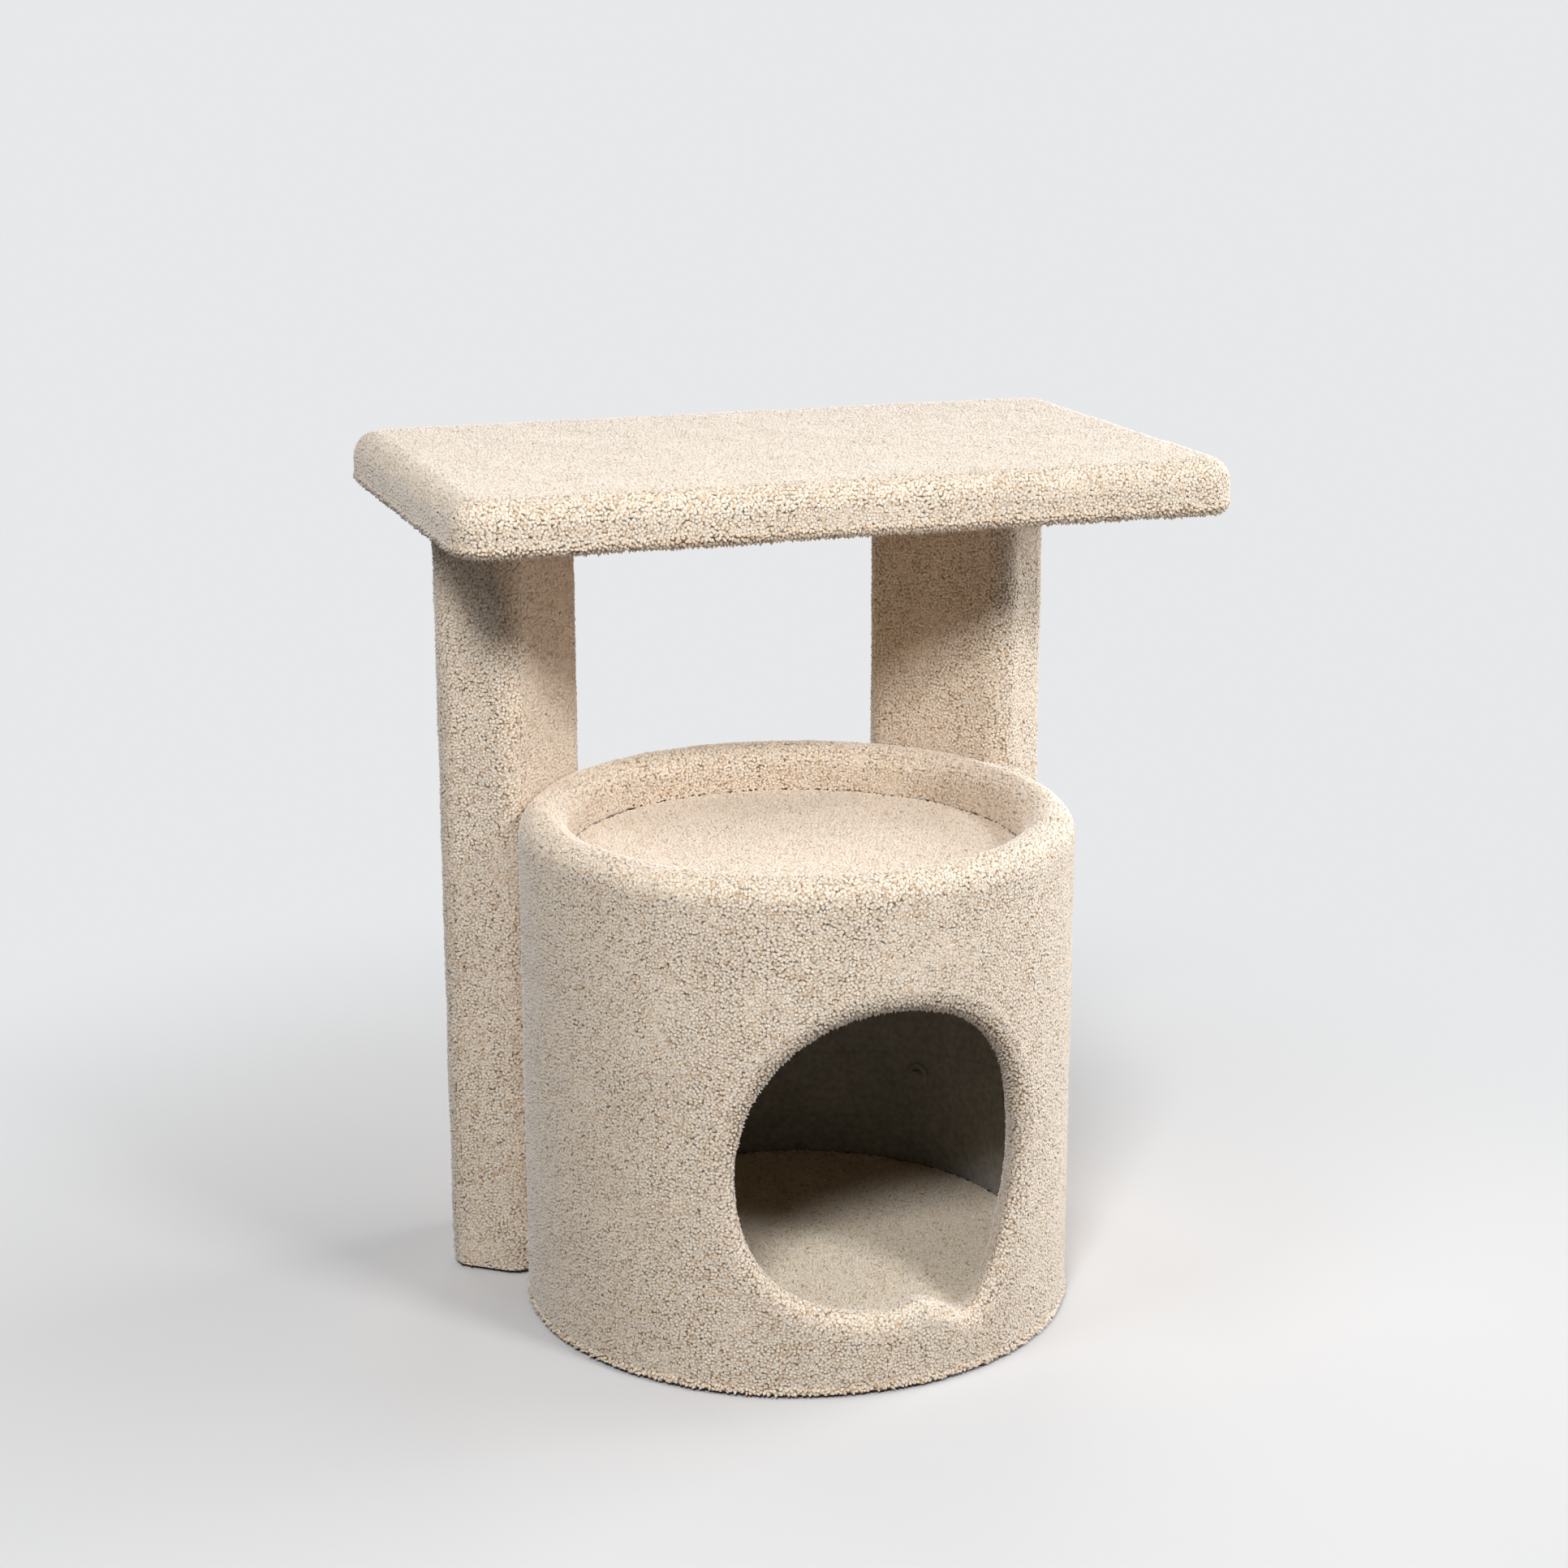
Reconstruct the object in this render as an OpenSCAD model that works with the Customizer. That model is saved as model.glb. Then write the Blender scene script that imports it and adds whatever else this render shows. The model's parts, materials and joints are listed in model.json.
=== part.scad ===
// Cat condo: a carpeted drum with a sleeping tray and a round entrance, two posts and a shelf.
// Millimetres, +Z up. The origin is on the floor at the drum's axis; the entrance faces -Y.

/* [Drum] */
// Radius of the drum outside its carpet
drum_r = 178; // [160:1:200]
// Height of the drum to the top of its carpet rim
drum_h = 330; // [322:1:380]
// Wall thickness of the fibre tube
tube_wall = 8; // [5:0.5:12]
// Depth of the sleeping tray below the rim
tray_depth = 30; // [22:1:34]
// Thickness of the round base board and tray board
disc_t = 18; // [12:1:20]

/* [Entrance] */
// Clear width of the entrance between its carpet lips
entrance_w = 182; // [150:1:195]
// Height of the wall left between the entrance and the tray board
entrance_head = 22; // [16:1:40]
// Height of the entrance sill above the floor
sill_z = 51; // [46:1:54]
// Thickness of the carpet folded through the entrance
lip_t = 10; // [6:1:11]
// Reach of the folded carpet flap past the edge, on the inside of the tube
flap_reach = 16; // [12:1:24]

/* [Carpet] */
// Thickness of the carpet, backing and pile together
carpet_t = 12; // [8:0.5:14]
// Height of the cut carpet edges above the floor
floor_gap = 3; // [2:0.5:6]
// Width of the line where two carpet ends meet
seam_w = 0.8; // [0.6:0.1:2]
// Corner radius of the carpet around a post
post_round = 17; // [14:0.5:20]

/* [Posts] */
// Width of a post timber, along the drum
post_w = 89; // [70:1:100]
// Depth of a post timber, away from the drum
post_d = 38; // [34:1:45]
// Edge radius of a post timber
post_edge = 3; // [1:0.5:4]
// Angle of each post from straight behind the drum
post_angle = 52; // [46:1:56]
// Thickness of the post carpet squeezed against the drum
squeeze_t = 3; // [2:0.5:6]

/* [Shelf] */
// Height of the shelf top above the floor
shelf_top = 544; // [480:1:640]
// Thickness of the shelf board
shelf_t = 18; // [15:1:25]
// Overhang of the shelf past the left post
over_left = 19; // [18:1:90]
// Overhang of the shelf past the right post
over_right = 75; // [18:1:90]
// Overhang of the shelf in front of the posts
over_front = 117; // [60:1:140]
// Overhang of the shelf behind the posts
over_rear = 95; // [60:1:120]
// Corner radius of the carpeted shelf, seen from above
shelf_round = 25; // [20:1:40]
// Radius of the soft edge around the shelf top
shelf_soft = 11; // [8:0.5:14]
// Thickness of the carpet tucked under the shelf
tuck_t = 6; // [4:0.5:8]
// Width of the carpet tucked under the shelf board
tuck_w = 42; // [30:1:50]

/* [Fasteners] */
// Shank diameter of the wood screws
screw_d = 4.5; // [3.5:0.5:6]
// Head diameter of the wood screws
head_d = 9; // [7.5:0.5:11]
// Length of the screws through the shelf into the posts
shelf_screw_l = 65; // [45:1:80]
// Distance of each shelf screw from the middle of its post
shelf_screw_x = 26; // [15:1:30]
// Grip of a drum screw inside the post timber
post_grip = 26; // [16:1:30]
// Height of the lower drum screws
drum_screw_low = 96; // [70:1:110]
// Drop of the upper drum screws below the tray board
drum_screw_drop = 44; // [30:1:70]
// Diameter of the washers under the drum screws
washer_d = 16; // [12:1:20]
// Thickness of the washers under the drum screws
washer_t = 1.6; // [1:0.2:2]
// Length of the screws into the edges of the round boards
edge_screw_l = 38; // [25:1:50]
// Number of edge screws around each round board
edge_screws = 6; // [4:1:8]
// Crown length of a staple
staple_w = 10; // [8:1:12]
// Leg length of a staple under the shelf
staple_leg = 12; // [10:1:14]
// Leg length of a staple in an entrance flap
flap_staple_leg = 16; // [14:1:18]
// Wire size of a staple
staple_wire = 1.2; // [0.8:0.1:1.4]

/* [Fit] */
// Clearance around curved and fitted faces
fit = 0.2; // [0.1:0.05:0.3]

/* [Hidden] */
$fn = 96;
soft_facets = 40;
LEFT = 1;
RIGHT = -1;
over = 1;
tube_or = drum_r - carpet_t - fit;
tube_ir = tube_or - tube_wall;
lining_r = tube_ir - fit - carpet_t;
roll_r = (drum_r - lining_r) / 2;
roll_mid = (drum_r + lining_r) / 2;
roll_z = drum_h - roll_r;
tube_top = drum_h - carpet_t - fit;
disc_r = tube_ir - fit;
tray_board_top = drum_h - tray_depth - carpet_t;
tray_board_low = tray_board_top - disc_t;
floor_top = disc_t + carpet_t;
entrance_h = tray_board_low - entrance_head - sill_z;
slot_r = min(entrance_w, entrance_h) / 2;
slot_x = max(0, (entrance_w - entrance_h) / 2);
slot_z = max(0, (entrance_h - entrance_w) / 2);
slot_mid = sill_z + entrance_h / 2;
drum_screw_high = tray_board_low - drum_screw_drop;
post_r = drum_r + squeeze_t + post_d / 2;
post_h = shelf_top - carpet_t - shelf_t;
post_out_w = post_w + 2 * carpet_t;
post_out_d = post_d + 2 * carpet_t;
post_mid_x = post_r * sin(post_angle);
post_mid_y = post_r * cos(post_angle);
post_flat_w = post_out_w / 2 - post_round;
post_flat_d = post_out_d / 2 - post_round;
post_half_x = post_flat_w * cos(post_angle) + post_flat_d * sin(post_angle) + post_round;
post_half_y = post_flat_w * sin(post_angle) + post_flat_d * cos(post_angle) + post_round;
shelf_x0 = -post_mid_x - post_half_x - over_left;
shelf_x1 = post_mid_x + post_half_x + over_right;
shelf_y0 = post_mid_y - post_half_y - over_front;
shelf_y1 = post_mid_y + post_half_y + over_rear;
shelf_l = shelf_x1 - shelf_x0;
shelf_w = shelf_y1 - shelf_y0;
shelf_mid_x = (shelf_x0 + shelf_x1) / 2;
shelf_mid_y = (shelf_y0 + shelf_y1) / 2;
board_l = shelf_l - 2 * carpet_t;
board_w = shelf_w - 2 * carpet_t;
board_round = shelf_round - carpet_t;
board_top = post_h + shelf_t;
shelf_low = post_h - tuck_t;
head_h = (head_d - screw_d) / 2;
pan_h = 3;
tip_l = 7;
washer_sag = disc_r + fit - sqrt(pow(disc_r + fit, 2) - pow(washer_d / 2, 2));
washer_y = tube_ir - washer_sag - washer_t;
drum_screw_l = post_r - post_d / 2 + post_grip - washer_y;
flap_staple_x = entrance_w / 2 + lip_t + flap_reach * 0.6;
flap_staple_angle = asin(flap_staple_x / lining_r);
flap_staple_step = entrance_h * 0.18;
staple_inset = tuck_w * 0.7;
staples_long = 5;
staples_short = 3;
fibre_colour = [0.36, 0.29, 0.22];
board_colour = [0.79, 0.66, 0.47];
timber_colour = [0.86, 0.73, 0.52];
carpet_colour = [0.82, 0.74, 0.65];
inner_carpet_colour = [0.76, 0.67, 0.57];
steel_colour = [0.72, 0.73, 0.75];

// Plan shape of a board with rounded corners, centred on the origin.
module rounded_plan(l, w, r) {
    square([l, w - 2 * r], center = true);
    square([l - 2 * r, w], center = true);
    for (sx = [-1, 1], sy = [-1, 1])
        translate([sx * (l / 2 - r), sy * (w / 2 - r)])
            circle(r = r);
}

// Entrance outline, grown by a margin and run from the drum's axis out of the front.
module entrance_prism(grow) {
    rotate([90, 0, 0])
        linear_extrude(height = drum_r + carpet_t)
            translate([0, slot_mid]) {
                if (slot_z > 0)
                    square([2 * (slot_r + grow), 2 * slot_z], center = true);
                if (slot_x > 0)
                    square([2 * slot_x, 2 * (slot_r + grow)], center = true);
                for (s = [-1, 1])
                    translate([s * slot_x, s * slot_z])
                        circle(r = slot_r + grow);
            }
}

// Ring wall between two radii.
module ring(r_out, r_in, z0, z1) {
    translate([0, 0, z0])
        difference() {
            cylinder(r = r_out, h = z1 - z0);
            translate([0, 0, -over])
                cylinder(r = r_in, h = z1 - z0 + 2 * over);
        }
}

// Outer half-section of the drum with its rolled rim, grown by a margin.
module drum_section(grow) {
    square([drum_r + grow, roll_z]);
    square([roll_mid, drum_h + grow]);
    translate([roll_mid, roll_z])
        circle(r = roll_r + grow);
}

// Countersunk wood screw with its head face at the origin, running along -Z.
module flat_screw(l, grow) {
    translate([0, 0, -head_h - grow])
        cylinder(d1 = screw_d + 2 * grow, d2 = head_d + 4 * grow, h = head_h + grow);
    translate([0, 0, tip_l - l])
        cylinder(d = screw_d + 2 * grow, h = l - tip_l);
    translate([0, 0, -l - grow])
        cylinder(d1 = 2 * grow + screw_d * 0.2, d2 = screw_d + 2 * grow, h = tip_l + grow);
}

// Pan-head wood screw with its head seat at the origin, running along +Y.
module pan_screw(l) {
    rotate([-90, 0, 0]) {
        translate([0, 0, -pan_h])
            cylinder(d1 = head_d * 0.8, d2 = head_d, h = pan_h);
        cylinder(d = screw_d, h = l - tip_l);
        translate([0, 0, l - tip_l])
            cylinder(d1 = screw_d, d2 = screw_d * 0.2, h = tip_l);
    }
}

// Bore for a pan-head screw.
module pan_bore(l) {
    rotate([-90, 0, 0])
        cylinder(d = screw_d + 2 * fit, h = l + fit);
}

// Staple with its crown outside the origin plane and its legs running along +Z.
module staple(leg, grow) {
    translate([-staple_w / 2 - grow, -staple_wire / 2 - grow, -staple_wire])
        cube([staple_w + 2 * grow, staple_wire + 2 * grow, staple_wire]);
    for (s = [-1, 1])
        translate([s * (staple_w / 2 - staple_wire / 2), 0, leg / 2])
            cube([staple_wire + 2 * grow, staple_wire + 2 * grow, leg + 2 * grow], center = true);
}

// Places its children at a post, turned to face away from the drum.
module at_post(side) {
    rotate([0, 0, side * post_angle])
        translate([0, post_r, 0])
            children();
}

// Places its children at the washer seats of a post's two drum screws.
module at_drum_screws(side) {
    for (z = [drum_screw_low, drum_screw_high])
        rotate([0, 0, side * post_angle])
            translate([0, washer_y, z])
                children();
}

// Places its children at the head faces of the edge screws of a round board.
module at_edge_screws(z) {
    for (k = [0 : edge_screws - 1])
        rotate([0, 0, 360 * (k + 0.5) / edge_screws])
            translate([0, tube_or - fit, z])
                rotate([-90, 0, 0])
                    children();
}

// Places its children at the head faces of the shelf screws.
module at_shelf_screws() {
    for (side = [LEFT, RIGHT], s = [-1, 1])
        at_post(side)
            translate([s * shelf_screw_x, 0, board_top])
                children();
}

// Places its children at the staples under the shelf.
module at_shelf_staples() {
    long_step = (board_l - 2 * tuck_w) / (staples_long - 1);
    short_step = (board_w - 2 * tuck_w) / (staples_short - 1);
    for (k = [0 : staples_long - 1], s = [-1, 1])
        translate([shelf_mid_x + (k - (staples_long - 1) / 2) * long_step,
                shelf_mid_y + s * (board_w / 2 - staple_inset), shelf_low])
            children();
    for (k = [0 : staples_short - 1])
        translate([shelf_mid_x + board_l / 2 - staple_inset,
                shelf_mid_y + (k - (staples_short - 1) / 2) * short_step, shelf_low])
            rotate([0, 0, 90])
                children();
}

// Places its children at the staples through the entrance flaps.
module at_flap_staples() {
    for (side = [LEFT, RIGHT], k = [-1, 0, 1])
        rotate([0, 0, 180 + side * flap_staple_angle])
            translate([0, lining_r, slot_mid + k * flap_staple_step])
                rotate([-90, 90, 0])
                    children();
}

// Fibre tube of the drum with its entrance.
module drum_tube() {
    color(fibre_colour)
        difference() {
            ring(tube_or, tube_ir, 0, tube_top);
            entrance_prism(lip_t);
            at_edge_screws(disc_t / 2)
                flat_screw(edge_screw_l, fit);
            at_edge_screws(tray_board_low + disc_t / 2)
                flat_screw(edge_screw_l, fit);
            for (side = [LEFT, RIGHT])
                at_drum_screws(side)
                    pan_bore(drum_screw_l);
            at_flap_staples()
                staple(flap_staple_leg, fit / 2);
        }
}

// Round board that closes the drum at the floor.
module base_board() {
    color(board_colour)
        difference() {
            cylinder(r = disc_r, h = disc_t);
            at_edge_screws(disc_t / 2)
                flat_screw(edge_screw_l, fit);
        }
}

// Carpet disc on the cabin floor.
module floor_carpet() {
    color(inner_carpet_colour)
        translate([0, 0, disc_t])
            cylinder(r = disc_r - fit, h = carpet_t);
}

// Round board under the sleeping tray.
module tray_board() {
    color(board_colour)
        difference() {
            translate([0, 0, tray_board_low])
                cylinder(r = disc_r, h = disc_t);
            at_edge_screws(tray_board_low + disc_t / 2)
                flat_screw(edge_screw_l, fit);
        }
}

// Carpet disc in the sleeping tray.
module tray_carpet() {
    color(carpet_colour)
        translate([0, 0, tray_board_top])
            cylinder(r = lining_r - fit, h = carpet_t);
}

// Carpet around the drum: rolled over the rim, down inside the tray and folded in through the entrance.
module drum_carpet() {
    color(carpet_colour)
        difference() {
            union() {
                rotate_extrude()
                    difference() {
                        drum_section(0);
                        square([lining_r, drum_h + over]);
                        square([tube_ir - fit, tray_board_top]);
                        square([drum_r + over, floor_gap]);
                        translate([tube_ir - fit, 0])
                            square([tube_wall + 2 * fit, tube_top + fit]);
                    }
                intersection() {
                    ring(drum_r - carpet_t / 2, lining_r, floor_top + fit, tray_board_low - fit);
                    entrance_prism(lip_t - fit);
                }
                intersection() {
                    ring(tube_ir - fit, lining_r, floor_top + fit, tray_board_low - fit);
                    entrance_prism(lip_t + flap_reach);
                }
            }
            entrance_prism(0);
            translate([-seam_w / 2, lining_r - over, -over])
                cube([seam_w, drum_r, drum_h + 2 * over]);
            for (side = [LEFT, RIGHT])
                at_drum_screws(side)
                    pan_bore(drum_screw_l);
            at_flap_staples()
                staple(flap_staple_leg, fit / 2);
        }
}

// Post timber with its screw bores.
module post(side) {
    difference() {
        at_post(side)
            linear_extrude(height = post_h)
                rounded_plan(post_w, post_d, post_edge);
        at_shelf_screws()
            flat_screw(shelf_screw_l, fit);
        at_drum_screws(side)
            pan_bore(drum_screw_l);
    }
}

// Carpet sleeve of a post, pressed hollow where it meets the drum.
module post_sleeve(side) {
    difference() {
        at_post(side)
            difference() {
                translate([0, 0, floor_gap])
                    linear_extrude(height = post_h - floor_gap)
                        rounded_plan(post_out_w, post_out_d, post_round);
                translate([0, 0, -over])
                    linear_extrude(height = post_h + 2 * over)
                        rounded_plan(post_w + 2 * fit, post_d + 2 * fit, post_edge + fit);
                translate([-seam_w / 2, 0, -over])
                    cube([seam_w, post_out_d, post_h + 2 * over]);
            }
        rotate_extrude()
            drum_section(fit);
        at_drum_screws(side)
            pan_bore(drum_screw_l);
    }
}

// Left post timber.
module left_post() {
    color(timber_colour)
        post(LEFT);
}

// Right post timber.
module right_post() {
    color(timber_colour)
        post(RIGHT);
}

// Carpet sleeve of the left post.
module left_post_carpet() {
    color(carpet_colour)
        post_sleeve(LEFT);
}

// Carpet sleeve of the right post.
module right_post_carpet() {
    color(carpet_colour)
        post_sleeve(RIGHT);
}

// Shelf board on the two post ends.
module shelf_board() {
    color(board_colour)
        difference() {
            translate([shelf_mid_x, shelf_mid_y, post_h])
                linear_extrude(height = shelf_t)
                    rounded_plan(board_l - 2 * fit, board_w - 2 * fit, board_round);
            at_shelf_screws()
                flat_screw(shelf_screw_l, fit);
            at_shelf_staples()
                staple(staple_leg, fit / 2);
        }
}

// Half-section of one rounded corner of the carpeted shelf, with its soft top edge.
module shelf_corner_section() {
    soft_z = shelf_top - shelf_soft;
    translate([0, shelf_low])
        square([shelf_round, soft_z - shelf_low]);
    translate([0, shelf_low])
        square([shelf_round - shelf_soft, shelf_top - shelf_low]);
    translate([shelf_round - shelf_soft, soft_z])
        circle(r = shelf_soft, $fn = soft_facets);
}

// Outer body of the carpeted shelf with a soft edge around its top.
module shelf_body() {
    hull()
        for (sx = [-1, 1], sy = [-1, 1])
            translate([sx * (shelf_l / 2 - shelf_round), sy * (shelf_w / 2 - shelf_round), 0])
                rotate_extrude($fn = soft_facets)
                    shelf_corner_section();
}

// Carpet over the shelf board, down its edges and tucked under it.
module shelf_carpet() {
    color(carpet_colour)
        difference() {
            translate([shelf_mid_x, shelf_mid_y, 0])
                difference() {
                    shelf_body();
                    translate([0, 0, post_h])
                        linear_extrude(height = shelf_t)
                            rounded_plan(board_l, board_w, board_round);
                    translate([0, 0, shelf_low - over])
                        linear_extrude(height = tuck_t + 2 * over)
                            rounded_plan(board_l - 2 * tuck_w, board_w - 2 * tuck_w, board_round);
                }
            for (side = [LEFT, RIGHT])
                at_post(side)
                    translate([0, 0, shelf_low - over])
                        linear_extrude(height = tuck_t + over + fit)
                            rounded_plan(post_out_w + 2 * fit, post_out_d + 2 * fit, post_round + fit);
            at_shelf_staples()
                staple(staple_leg, fit / 2);
        }
}

// Screws through the shelf board into the post ends.
module shelf_screws() {
    color(steel_colour)
        at_shelf_screws()
            flat_screw(shelf_screw_l, 0);
}

// Screws from inside the drum into the left post.
module left_drum_screws() {
    color(steel_colour)
        at_drum_screws(LEFT)
            pan_screw(drum_screw_l);
}

// Screws from inside the drum into the right post.
module right_drum_screws() {
    color(steel_colour)
        at_drum_screws(RIGHT)
            pan_screw(drum_screw_l);
}

// One washer under a drum screw.
module washer() {
    rotate([-90, 0, 0])
        difference() {
            cylinder(d = washer_d, h = washer_t);
            translate([0, 0, -over])
                cylinder(d = screw_d + 2 * fit, h = washer_t + 2 * over);
        }
}

// Washers under the left drum screws.
module left_drum_washers() {
    color(steel_colour)
        at_drum_screws(LEFT)
            washer();
}

// Washers under the right drum screws.
module right_drum_washers() {
    color(steel_colour)
        at_drum_screws(RIGHT)
            washer();
}

// Screws through the tube into the edge of the base board.
module base_board_screws() {
    color(steel_colour)
        at_edge_screws(disc_t / 2)
            flat_screw(edge_screw_l, 0);
}

// Screws through the tube into the edge of the tray board.
module tray_board_screws() {
    color(steel_colour)
        at_edge_screws(tray_board_low + disc_t / 2)
            flat_screw(edge_screw_l, 0);
}

// Staples that hold the carpet tucked under the shelf.
module shelf_staples() {
    color(steel_colour)
        at_shelf_staples()
            staple(staple_leg, 0);
}

// Staples that hold the entrance flaps inside the tube.
module flap_staples() {
    color(steel_colour)
        at_flap_staples()
            staple(flap_staple_leg, 0);
}

drum_tube();
base_board();
floor_carpet();
tray_board();
tray_carpet();
drum_carpet();
left_post();
right_post();
left_post_carpet();
right_post_carpet();
shelf_board();
shelf_carpet();
shelf_screws();
left_drum_screws();
right_drum_screws();
left_drum_washers();
right_drum_washers();
base_board_screws();
tray_board_screws();
shelf_staples();
flap_staples();
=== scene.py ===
"""Carpeted cat condo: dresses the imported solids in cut-pile carpet, fibre board, plywood, timber and zinc."""

import contextlib
import json
import logging
import math
from collections.abc import Callable, Iterator
from dataclasses import dataclass
from enum import Enum, IntEnum
from typing import ClassVar

import bmesh
import bpy
from mathutils import Matrix, Vector

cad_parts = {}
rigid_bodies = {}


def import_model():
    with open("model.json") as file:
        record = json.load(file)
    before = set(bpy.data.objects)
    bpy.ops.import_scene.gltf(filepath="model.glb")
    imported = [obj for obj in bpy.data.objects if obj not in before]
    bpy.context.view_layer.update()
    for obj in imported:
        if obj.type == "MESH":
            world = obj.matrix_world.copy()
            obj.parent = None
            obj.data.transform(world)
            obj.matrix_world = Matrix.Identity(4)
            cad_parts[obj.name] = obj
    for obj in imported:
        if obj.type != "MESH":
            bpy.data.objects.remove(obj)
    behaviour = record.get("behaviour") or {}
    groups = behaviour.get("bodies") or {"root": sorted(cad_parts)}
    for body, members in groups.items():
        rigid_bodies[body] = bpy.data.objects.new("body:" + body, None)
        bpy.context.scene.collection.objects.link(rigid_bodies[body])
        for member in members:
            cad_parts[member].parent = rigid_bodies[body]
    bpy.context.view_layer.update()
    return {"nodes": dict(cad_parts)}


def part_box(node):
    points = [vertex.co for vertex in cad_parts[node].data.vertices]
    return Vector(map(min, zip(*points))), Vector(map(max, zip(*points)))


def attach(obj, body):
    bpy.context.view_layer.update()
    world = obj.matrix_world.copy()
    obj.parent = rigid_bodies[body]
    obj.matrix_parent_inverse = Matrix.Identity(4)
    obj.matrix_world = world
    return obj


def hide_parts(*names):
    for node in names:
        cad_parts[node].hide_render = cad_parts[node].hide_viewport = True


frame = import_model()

log = logging.getLogger("cat_condo")
BODY = "root"
MM = 0.001
PILE = 1.4 * MM  # depth outside a carpet's ground that its pile takes up
NEAR = 0.1 * MM  # play when parts of a mesh are found by their place
MERGE = 0.01 * MM  # distance below which two vertices are one
ROUND_STEPS = 160  # faces around the drum and around its entrance
CREASE = math.radians(40)  # edges that turn further than this stay sharp
Colour = tuple[float, float, float, float]
Piece = bpy.types.Object
Socket = bpy.types.NodeSocket


class Slot(Enum):
    """Material slots of the record, which nothing in the script uses."""

    CARPET = "carpet"
    FIBRE = "fibre_tube"


class Effect(Enum):
    """Shader node groups that several finishes share."""

    PATCHES = "cloudy_patches"
    GRAIN = "wood_grain"


class Side(Enum):
    """Side of the condo that a post stands on, as its turn direction from straight back."""

    LEFT = 1
    RIGHT = -1


class Strip(IntEnum):
    """What a face of a carpet's ground carries, apart from the numbered strips of pile."""

    BARE = -1
    FRINGE = 8


def rgb(red: float, green: float, blue: float) -> Colour:
    """Returns an opaque linear colour."""
    return (red, green, blue, 1.0)


def deselect() -> None:
    """Leaves edit mode and clears the selection."""
    if bpy.context.object and bpy.context.object.mode != "OBJECT":
        bpy.ops.object.mode_set(mode="OBJECT")
    bpy.ops.object.select_all(action="DESELECT")


def focus(piece: Piece) -> None:
    """Selects one piece alone and makes it active."""
    deselect()
    piece.select_set(True)
    bpy.context.view_layer.objects.active = piece


@contextlib.contextmanager
def editing(piece: Piece) -> Iterator[None]:
    """Opens a piece in edit mode for the length of a with block.

    Args:
        piece: The mesh object to edit.
    """
    focus(piece)
    bpy.ops.object.mode_set(mode="EDIT")
    yield
    bpy.ops.object.mode_set(mode="OBJECT")


def pick(piece: Piece, faces: Callable | None = None, edges: Callable | None = None,
         verts: Callable | None = None) -> None:
    """Selects parts of a mesh in edit mode by their place or normal.

    Args:
        piece: The object in edit mode.
        faces: Test on a face, or None.
        edges: Test on an edge, or None.
        verts: Test on a vertex, or None.
    """
    bpy.ops.mesh.select_mode(type="FACE" if faces else "EDGE" if edges else "VERT")
    bpy.ops.mesh.select_all(action="DESELECT")
    mesh = bmesh.from_edit_mesh(piece.data)
    for items, test in ((mesh.verts, verts), (mesh.edges, edges), (mesh.faces, faces)):
        if test:
            for item in items:
                item.select_set(bool(test(item)))
    mesh.select_flush_mode()
    bmesh.update_edit_mesh(piece.data)


def pick_all() -> None:
    """Selects the whole mesh in edit mode."""
    bpy.ops.mesh.select_all(action="SELECT")


def extrude(*offset: float) -> None:
    """Extrudes what is selected in edit mode by an offset along X, Y and Z."""
    bpy.ops.mesh.extrude_region_move(TRANSFORM_OT_translate={"value": offset})


def round_edges(piece: Piece, test: Callable[[float], bool], radius: float, steps: int) -> None:
    """Rounds edges of a piece in edit mode.

    Args:
        piece: The object in edit mode.
        test: Test on the height of both ends of an edge.
        radius: Width of the rounding.
        steps: Number of faces across it.
    """
    pick(piece, edges=lambda edge: all(test(v.co.z) for v in edge.verts))
    bpy.ops.mesh.bevel(offset=radius, segments=steps, affect="EDGES")


def finish_with(piece: Piece, kind: str, **settings: object) -> None:
    """Adds a modifier to a piece, sets it and applies it.

    Args:
        piece: The object to change.
        kind: Modifier type.
        settings: Values to set on the modifier.
    """
    focus(piece)
    bpy.ops.object.modifier_add(type=kind)
    modifier = piece.modifiers[-1]
    for name, value in settings.items():
        setattr(modifier, name, value)
    bpy.ops.object.modifier_apply(modifier=modifier.name)


def settle(piece: Piece, name: str) -> Piece:
    """Names a piece and puts its place, turn and scale into its mesh.

    Args:
        piece: The object to settle.
        name: Its final name.

    Returns:
        The same object.
    """
    focus(piece)
    bpy.ops.object.transform_apply(location=True, rotation=True, scale=True)
    piece.name = name
    piece.data.name = name
    return piece


def outward(piece: Piece) -> None:
    """Merges doubles and turns all faces of a piece outwards."""
    with editing(piece):
        pick_all()
        bpy.ops.mesh.remove_doubles(threshold=MERGE)
        bpy.ops.mesh.normals_make_consistent(inside=False)


def smooth(piece: Piece) -> None:
    """Shades a piece smooth between its creases."""
    focus(piece)
    bpy.ops.object.shade_smooth_by_angle(angle=CREASE)


def carve(piece: Piece, cutter: Piece) -> None:
    """Cuts one piece with another, which is used up."""
    finish_with(piece, "BOOLEAN", operation="DIFFERENCE", solver="EXACT", object=cutter)
    bpy.data.objects.remove(cutter)


def coat(piece: Piece, *materials: bpy.types.Material) -> None:
    """Gives a piece these materials and no others."""
    piece.data.materials.clear()
    for material in materials:
        piece.data.materials.append(material)


def cylinder(name: str, radius: float, low: float, high: float, steps: int = ROUND_STEPS,
             ends: str = "NGON") -> Piece:
    """Makes an upright cylinder around the Z axis.

    Args:
        name: Name of the cylinder.
        radius: Its radius.
        low: Height of its lower end.
        high: Height of its upper end.
        steps: Number of faces around it.
        ends: How its ends are filled.

    Returns:
        The cylinder.
    """
    deselect()
    bpy.ops.mesh.primitive_cylinder_add(vertices=steps, radius=radius, depth=high - low, end_fill_type=ends,
                                        location=(0, 0, (high + low) / 2))
    return settle(bpy.context.object, name)


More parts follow.
